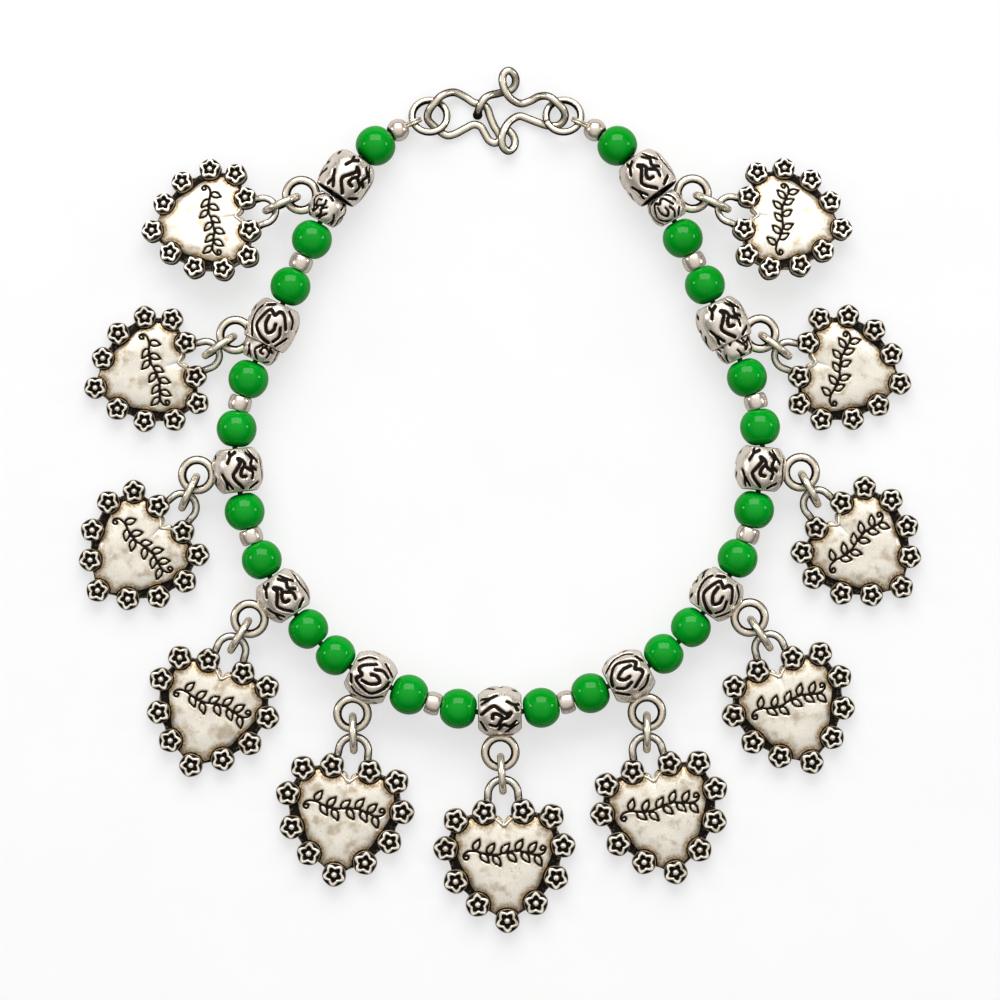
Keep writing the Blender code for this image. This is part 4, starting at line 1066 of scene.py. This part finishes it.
# %% Places of the end rings and of the thread loops that hold them
end_ring_places, end_loop_places = {}, {}
for side in (-1, 1):
    ball = string_joints[side][-2:].mean(axis=0)
    clasp_way = heading(90.0 + side * CLASP_TURN)
    ring_radius = (END_RING_DIAMETER - END_RING_WIRE) / 2
    reach = END_BALL_DIAMETER / 2 + END_LOOP_PLAY + THREAD_GAP / 2 + END_RING_WIRE / 2 + ring_radius
    middle = (ball + clasp_way * reach) * [1, 1, 0] + END_RING_HEIGHT * UP
    tilt = turned_about([1, 0, 0], -END_RING_TILT)
    end_ring_places[side] = place_of(middle, *tilt.T)
    level = (tilt.T @ -clasp_way) * [1, 1, 0]
    held = middle + tilt @ (unit(level) * ring_radius)
    end_loop_places[side] = place_of(held, -clasp_way, UP, np.cross(-clasp_way, UP))
ring_left, ring_right = end_ring_places[-1][:3, 3], end_ring_places[1][:3, 3]
eye_path = smooth_curve(bends_in_place(EYE_BENDS, ring_left, ring_right), True, WIRE_STEP)
hook_path = smooth_curve(bends_in_place(HOOK_BENDS, ring_right, ring_left), False, WIRE_STEP)
print("eye wire", round(len(eye_path) * WIRE_STEP), "mm, hook wire", round(len(hook_path) * WIRE_STEP), "mm")

# %% [markdown]
# ## Finishes
#
# Four metals share one effect: silver that has been oxidised black and then polished on its high parts. A
# picture texture could hold the wear, but it would need a flat layout of every piece. Here the two masks say
# where the black and the brown lie, as oxide and tarnish and as painted shade on flanks, undersides and
# joins, and noise makes their edge ragged. The effect is a node group that only puts out a colour, a
# roughness, a metallic value and a height. Each material gives it its own colours and the two masks, and
# keeps its own shader. The glass is an opaque pressed green with a clear surface and painted shade in its
# hole, and the thread is waxed dark brown.


# %% Node helpers
def add_node(tree, kind, inputs=None, **settings):
    """Add a node to a tree, set its options, and link or set its inputs."""
    made = tree.nodes.new(kind)
    for key, value in settings.items():
        setattr(made, key, value)
    for key, value in (inputs or {}).items():
        if isinstance(value, bpy.types.NodeSocket):
            tree.links.new(value, made.inputs[key])
        else:
            made.inputs[key].default_value = value
    return made


def math_node(tree, operation, a, b, clamp=False):
    """One sum on two values."""
    return add_node(tree, "ShaderNodeMath", {0: a, 1: b}, operation=operation, use_clamp=clamp).outputs[0]


def ramp(tree, value, low, high, start=0.0, stop=1.0):
    """Carry a value from low..high to start..stop, smoothly, and hold it there beyond."""
    inputs = {"Value": value, "From Min": low, "From Max": high, "To Min": start, "To Max": stop}
    return add_node(tree, "ShaderNodeMapRange", inputs, interpolation_type="SMOOTHSTEP").outputs[0]


def blend(tree, share, first, second):
    """Mix two colours by a share."""
    made = add_node(tree, "ShaderNodeMix", {0: share, 6: first, 7: second}, data_type="RGBA")
    return made.outputs[2]


def noise(tree, coordinates, scale, detail=3.0, rough=0.55):
    """Soft noise with a scale in lumps a metre."""
    return add_node(tree, "ShaderNodeTexNoise", {
        "Vector": coordinates, "Scale": scale, "Detail": detail, "Roughness": rough,
    }).outputs[0]


# %% The shared effect: oxidised and polished metal
LUMPS, RAGGED_EDGE, FINE_GRAIN, BRUSHING = 420.0, 2600.0, 9000.0, 8000.0
BRUSHED_ALONG, BRUSHING_TURN = 0.08, 0.6
BRIGHT_METAL, BLACK_LOSS = 0.76, 0.70


def worn_metal_group():
    """Black for oxide and painted shade where the mask and its ragged edge say, brown round it, and brushed
    metal elsewhere.
    """
    group = bpy.data.node_groups.new("worn_metal", "ShaderNodeTree")
    for name in ("Bright Color", "Tarnish And Shade Color", "Oxide And Shade Color"):
        group.interface.new_socket(name, in_out="INPUT", socket_type="NodeSocketColor")
    for name in ("Oxide And Shade", "Tarnish And Shade", "Patches", "Pits", "Polish"):
        group.interface.new_socket(name, in_out="INPUT", socket_type="NodeSocketFloat")
    group.interface.new_socket("Color", in_out="OUTPUT", socket_type="NodeSocketColor")
    for name in ("Roughness", "Metallic", "Height"):
        group.interface.new_socket(name, in_out="OUTPUT", socket_type="NodeSocketFloat")

    def times(a, b):
        return math_node(group, "MULTIPLY", a, b)

    def plus(a, b, clamp=False):
        return math_node(group, "ADD", a, b, clamp)

    given = add_node(group, "NodeGroupInput").outputs
    where = add_node(group, "ShaderNodeTexCoord").outputs["Object"]
    drawn_out = add_node(group, "ShaderNodeMapping", {
        "Vector": where, "Rotation": (0.0, 0.0, BRUSHING_TURN), "Scale": (1.0, BRUSHED_ALONG, 1.0),
    }).outputs[0]
    lumps = noise(group, where, LUMPS)
    ragged = noise(group, where, RAGGED_EDGE)
    fine = noise(group, where, FINE_GRAIN, 2.0)
    brushed = noise(group, drawn_out, BRUSHING, 2.0)

    raggedness = times(math_node(group, "SUBTRACT", ragged, 0.5), 0.5)
    black = ramp(group, plus(given["Oxide And Shade"], raggedness), 0.32, 0.64)
    patchy = times(ramp(group, lumps, 0.48, 0.72), given["Patches"])
    spread = times(given["Tarnish And Shade"], ramp(group, ragged, 0.25, 0.65, 0.35, 1.0))
    pit = times(ramp(group, ragged, 0.66, 0.74), given["Pits"])
    brown = math_node(group, "MAXIMUM", math_node(group, "MAXIMUM", patchy, spread, True), pit, True)
    color = blend(group, brown, given["Bright Color"], given["Tarnish And Shade Color"])
    color = blend(group, black, color, given["Oxide And Shade Color"])

    rough = plus(given["Polish"], ramp(group, brushed, 0.3, 0.7, -0.05, 0.09))
    rough = plus(plus(rough, times(brown, 0.12)), times(black, 0.25), True)
    metal = math_node(group, "SUBTRACT", BRIGHT_METAL, times(black, BLACK_LOSS), True)
    height = plus(plus(times(brushed, 0.35), times(lumps, 0.8)), times(fine, 0.25))
    height = math_node(group, "SUBTRACT", height, times(pit, 0.8))
    add_node(group, "NodeGroupOutput", {
        "Color": color, "Roughness": rough, "Metallic": metal, "Height": height,
    })
    return group


worn_metal = worn_metal_group()
print("worn_metal has", len(worn_metal.nodes), "nodes")


# %% Materials
def new_material(name):
    """A material with an empty tree, its shader and its output."""
    material = bpy.data.materials.new(name)
    material.use_nodes = True
    tree = material.node_tree
    tree.nodes.clear()
    shader = add_node(tree, "ShaderNodeBsdfPrincipled")
    add_node(tree, "ShaderNodeOutputMaterial", {"Surface": shader.outputs[0]})
    return material, tree, shader


# %% The four metals
# the black of oxide and of painted shade
OXIDE_AND_SHADE_BLACK = (0.010, 0.007, 0.005)
CASTING_RELIEF, METAL_SPECULAR = 0.00006, 0.06


def worn_material(name, bright, tarnish, patches, pits, polish, bump):
    """A metal that takes its wear and painted shade from the shared group and the piece's own masks."""
    material, tree, shader = new_material(name)
    worn = add_node(tree, "ShaderNodeGroup", node_tree=worn_metal)
    for key, colour in (("Bright Color", bright), ("Tarnish And Shade Color", tarnish), ("Oxide And Shade Color", OXIDE_AND_SHADE_BLACK)):
        worn.inputs[key].default_value = (*colour, 1.0)
    for key, value in (("Patches", patches), ("Pits", pits), ("Polish", polish)):
        worn.inputs[key].default_value = value
    for key, mask in (("Oxide And Shade", "oxide"), ("Tarnish And Shade", "tarnish")):
        painted = add_node(tree, "ShaderNodeAttribute", attribute_name=mask).outputs["Fac"]
        tree.links.new(painted, worn.inputs[key])
    relief = add_node(tree, "ShaderNodeBump", {
        "Height": worn.outputs["Height"], "Strength": bump, "Distance": CASTING_RELIEF,
    })
    for key, output in (("Base Color", "Color"), ("Roughness", "Roughness"), ("Metallic", "Metallic")):
        tree.links.new(worn.outputs[output], shader.inputs[key])
    tree.links.new(relief.outputs[0], shader.inputs["Normal"])
    shader.inputs["Specular IOR Level"].default_value = METAL_SPECULAR
    return material


# name, bright colour, tarnish and shade colour, patches, pits, polish, bump
carved_silver = worn_material("carved_silver", (0.99, 0.89, 0.78), (0.46, 0.34, 0.23), 0.25, 0.3, 0.26, 0.3)
cast_silver = worn_material("cast_silver", (0.96, 0.90, 0.78), (0.38, 0.26, 0.13), 0.65, 0.9, 0.27, 0.8)
wire_silver = worn_material("wire_silver", (0.97, 0.87, 0.70), (0.28, 0.20, 0.11), 0.2, 0.2, 0.20, 0.08)
plain_silver = worn_material("plain_silver", (0.93, 0.82, 0.72), (0.52, 0.40, 0.31), 0.2, 0.2, 0.17, 0.15)
print("metals", [metal.name for metal in (carved_silver, cast_silver, wire_silver, plain_silver)])


# %% Green glass and waxed thread
def pressed_glass():
    """An opaque green that is a little cloudy and rippled, with painted shade in its drilled hole and at its
    ground ends.
    """
    material, tree, shader = new_material("pressed_glass")
    where = add_node(tree, "ShaderNodeTexCoord").outputs["Object"]
    cloudy = ramp(tree, noise(tree, where, 160.0, 2.0), 0.3, 0.7)
    hole_and_end_shade = add_node(tree, "ShaderNodeAttribute", attribute_name="oxide").outputs["Fac"]
    green = blend(tree, cloudy, (0.000, 0.275, 0.010, 1), (0.000, 0.325, 0.018, 1))
    # painted shade: a dark green in the hole and at the ground ends
    green = blend(tree, hole_and_end_shade, green, (0.0, 0.10, 0.008, 1))
    ripple = noise(tree, where, 500.0, 1.0)
    ripple = add_node(tree, "ShaderNodeBump", {"Height": ripple, "Strength": 0.12, "Distance": 0.0001})
    tree.links.new(green, shader.inputs["Base Color"])
    tree.links.new(ripple.outputs[0], shader.inputs["Normal"])
    shader.inputs["Roughness"].default_value = 0.07
    shader.inputs["IOR"].default_value = 1.28
    return material


def waxed_thread():
    """Dark brown, with a slightly paler band for each strand."""
    material, tree, shader = new_material("waxed_thread")
    where = add_node(tree, "ShaderNodeTexCoord").outputs["Object"]
    wave = add_node(tree, "ShaderNodeTexWave", {"Vector": where, "Scale": 900.0, "Distortion": 2.0})
    brown = blend(tree, wave.outputs[1], (0.018, 0.012, 0.008, 1), (0.06, 0.045, 0.03, 1))
    tree.links.new(brown, shader.inputs["Base Color"])
    shader.inputs["Roughness"].default_value = 0.7
    return material


glass = pressed_glass()
thread_material = waxed_thread()
print(len(bpy.data.materials), "materials in the file")

# %% [markdown]
# ## Setting the pieces down
#
# Everything is in its own millimetres up to here. Each patch is now carried to its place in the packed
# frame. Objects could be moved there instead, but a finished piece keeps its place in its mesh, as the
# solids do. One node of the solids is the whole string, so several pieces stand for it together.

# %% Barrels, bail beads and their rings
FACE_ROLLS = {
    # side, and count from the centre: degrees of roll that bring up the face seen in the photo
    (0, 0): 0.0,
    (-1, 1): -120.0, (-1, 2): -8.0, (-1, 3): 6.0, (-1, 4): -120.0, (-1, 5): 10.0,
    (1, 1): -128.0, (1, 2): -114.0, (1, 3): -5.0, (1, 4): 4.0, (1, 5): -6.0,
}
BAIL_BEAD_ROLL = 75.0
for side, name in ((-1, "carved_barrels_left"), (1, "carved_barrels_right"), (0, "carved_barrel_centre")):
    barrels = [row for row in string_rows if "barrel" in row[0] and row[1] == side]
    patches = [
        moved(barrel_patches[row[0]], bead_place(row, FACE_ROLLS[side, number]))
        for number, row in enumerate(barrels, start=abs(side))
    ]
    add_piece(name, patches, carved_silver, ["silver_string"])
bail_beads = [row for row in string_rows if "bail_bead" in row[0]]
patches = [
    moved(barrel_patches[row[0]], bead_place(row, BAIL_BEAD_ROLL * number))
    for number, row in enumerate(bail_beads)
]
add_piece("bail_beads", patches, carved_silver, ["silver_string"])
bail_ring = wire_ring(BAIL_OUTER_DIAMETER, BAIL_WIRE, lying=True)
bail_patches = [moved(bail_ring, to_frame(place)) for place in bail_places.values()]
add_piece("bail_rings", bail_patches, wire_silver, ["silver_string"])

# %% Spacers, end balls and thread
for name, kind in (("spacers", "spacer"), ("end_balls", "end_ball")):
    patches = [moved(plain_patches[kind], bead_place(row)) for row in string_rows if row[0] == kind]
    add_piece(name, patches, plain_silver, ["silver_string"])
thread_path = np.vstack([string_joints[-1][::-1], string_joints[1]])
thread_grid, _ = bent_wire(thread_path, THREAD_DIAMETER, 10, False)
thread_patch = moved(closed_surface(thread_grid, False), to_frame(np.eye(4)))
add_piece("thread", [thread_patch], thread_material, ["silver_string"])

# %% Two turns of thin wire hold each end ring
END_LOOP_DIAMETER = END_RING_WIRE + 2 * END_LOOP_PLAY + 2 * THREAD_DIAMETER - 0.3
END_LOOP_WIRE, END_LOOP_SPREAD, END_LOOP_OXIDE = 0.38, 0.19, 0.38
end_turn = wire_ring(END_LOOP_DIAMETER, END_LOOP_WIRE, segments=32, sides=8)
end_turn["oxide"] = np.full_like(end_turn["oxide"], END_LOOP_OXIDE)
patches = []
for place in end_loop_places.values():
    for offset in (-END_LOOP_SPREAD, END_LOOP_SPREAD):
        shifted = {**end_turn, "points": end_turn["points"] + offset * UP}
        patches.append(moved(shifted, to_frame(place)))
add_piece("end_loops", patches, wire_silver, ["silver_string"])

# %% Green beads, one for each node, raised where they would touch the table
BEAD_GAP = 0.02
for name, row in zip(green_names, green_rows):
    bead = moved(bead_patch, bead_place(row))
    sunk = min(0.0, bead["points"][:, 2].min() - BEAD_GAP * MM)
    bead["points"] = bead["points"] - sunk * UP
    add_piece(name.replace("green_bead", "glass_bead"), [bead], glass, [name])

# %% Links and hearts
LINK_SEAM, END_RING_SEAM = 20.0, 200.0
link_patch = wire_ring(LINK_OUTER_DIAMETER, LINK_WIRE, LINK_SEAM)
for name, (link_place, charm_place) in hung.items():
    link = moved(link_patch, to_frame(link_place))
    add_piece(f"link_{name}", [link], wire_silver, [f"jump_link_{name}"])
    patches = [moved(patch, to_frame(charm_place)) for patch in charm_patches]
    add_piece(f"cast_heart_{name}", patches, cast_silver, [f"heart_charm_{name}"])

# %% Clasp
end_ring = wire_ring(END_RING_DIAMETER, END_RING_WIRE, END_RING_SEAM, True)
for side, word in ((-1, "left"), (1, "right")):
    patches = [moved(end_ring, to_frame(end_ring_places[side]))]
    add_piece(f"clasp_ring_{word}", patches, wire_silver, [f"end_ring_{word}"])
eye = lying_wire(eye_path, CLASP_WIRE, 16, True)
add_piece("bent_eye", [moved(eye, to_frame(np.eye(4)))], wire_silver, ["clasp_eye"])
from_tip = np.arange(len(hook_path)) * WIRE_STEP
hook_thickness = np.maximum(CLASP_WIRE, HOOK_TIP_DIAMETER - HOOK_TAPER * from_tip)
hook = lying_wire(hook_path, hook_thickness, 16, False)
add_piece("bent_hook", [moved(hook, to_frame(np.eye(4)))], wire_silver, ["clasp_hook"])

# %% [markdown]
# ## Table, light and camera
#
# The anklet lies on a pale table. A wide soft light stands behind it, two small ones to its sides, and the
# sky is bright overhead and dark towards the horizon. The dark band is what draws the black edges on bright
# wire. An even white sky would be simpler, but would wash those edges out. So the table is a mid grey that
# glows towards the camera, as white as a studio sheet but a weaker mirror image in the metal, and the sky
# is brighter behind.


# %% Table
TABLE_REACH, TABLE_GLOW, GLOW_FOR_CAMERA = 4.0, 0.20, 0.43
table_mesh = bpy.data.meshes.new("table")
corners = [(-TABLE_REACH, -TABLE_REACH, 0), (TABLE_REACH, -TABLE_REACH, 0),
           (TABLE_REACH, TABLE_REACH, 0), (-TABLE_REACH, TABLE_REACH, 0)]
table_mesh.from_pydata(corners, [], [(0, 1, 2, 3)])
table = bpy.data.objects.new("table", table_mesh)
bpy.context.scene.collection.objects.link(table)
table_material, table_tree, table_shader = new_material("pale_table")
grain = noise(table_tree, add_node(table_tree, "ShaderNodeTexCoord").outputs["Object"], 60.0)
grain = ramp(table_tree, grain, 0.3, 0.7)
grey = blend(table_tree, grain, (0.32, 0.32, 0.32, 1), (0.33, 0.33, 0.33, 1))
from_camera = add_node(table_tree, "ShaderNodeLightPath").outputs["Is Camera Ray"]
glowing = math_node(table_tree, "MULTIPLY", from_camera, GLOW_FOR_CAMERA)
glowing = math_node(table_tree, "ADD", glowing, TABLE_GLOW)
table_tree.links.new(grey, table_shader.inputs["Base Color"])
table_tree.links.new(glowing, table_shader.inputs["Emission Strength"])
table_shader.inputs["Emission Color"].default_value = (1.0, 1.0, 1.0, 1.0)
table_shader.inputs["Roughness"].default_value = 0.9
table_shader.inputs["Specular IOR Level"].default_value = 0.1
table_mesh.materials.append(table_material)
print("table", 2 * TABLE_REACH, "m wide")


# %% Lights
def area_light(name, azimuth, elevation, distance, width, height, power):
    """A soft light at an angle round from +X and above the table, aimed at the anklet's middle."""
    data = bpy.data.lights.new(name, "AREA")
    data.shape = "RECTANGLE"
    data.size, data.size_y, data.energy = width, height, power
    light = bpy.data.objects.new(name, data)
    bpy.context.scene.collection.objects.link(light)
    way = heading(azimuth) * np.cos(np.radians(elevation)) + UP * np.sin(np.radians(elevation))
    side = unit(np.cross(UP, way))
    light.matrix_world = Matrix(place_of(way * distance, side, np.cross(way, side), way).tolist())


# name, azimuth, elevation, distance, width, height, power
area_light("soft_light_behind", 90, 40, 1.2, 1.2, 0.75, 14.0)
area_light("side_light_left", 168, 22, 1.2, 0.22, 0.22, 1.6)
area_light("side_light_right", 12, 22, 1.2, 0.22, 0.22, 1.6)
print(len(bpy.data.lights), "lights")

# %% Sky
BACKDROP_WHITE = 0.95
world = bpy.data.worlds.new("studio")
bpy.context.scene.world = world
world.use_nodes = True
sky = world.node_tree
sky.nodes.clear()
direction = add_node(sky, "ShaderNodeTexCoord").outputs["Generated"]
_, depth, height = add_node(sky, "ShaderNodeSeparateXYZ", {0: direction}).outputs
overhead = ramp(sky, height, 0.35, 0.90, 0.05, 1.0)
behind = ramp(sky, depth, -0.40, 0.40, 0.74, 1.24)
glow = math_node(sky, "MULTIPLY", overhead, behind)
from_camera = add_node(sky, "ShaderNodeLightPath").outputs["Is Camera Ray"]
strength = add_node(sky, "ShaderNodeMix", {0: from_camera, 2: glow, 3: BACKDROP_WHITE}).outputs[0]
backdrop = add_node(sky, "ShaderNodeBackground", {"Strength": strength})
add_node(sky, "ShaderNodeOutputWorld", {"Surface": backdrop.outputs[0]})
print("sky of", len(sky.nodes), "nodes")

# %% Camera
VIEW_WIDTH, VIEW_DISTANCE, SENSOR_WIDTH = 0.150, 0.9, 36.0
camera_data = bpy.data.cameras.new("camera")
camera_data.sensor_width = SENSOR_WIDTH
camera_data.lens = SENSOR_WIDTH * VIEW_DISTANCE / VIEW_WIDTH
camera = bpy.data.objects.new("camera", camera_data)
camera.location = (0.0, 0.0, VIEW_DISTANCE)
bpy.context.scene.collection.objects.link(camera)
bpy.context.scene.camera = camera
bpy.context.scene.view_settings.view_transform = "Standard"
print("camera", VIEW_DISTANCE, "m above the table, seeing", VIEW_WIDTH, "m across")

# %% Print the bounds of the solids and finish
print("solids", [round(v / MM, 2) for v in (*cad_low, *cad_high)])
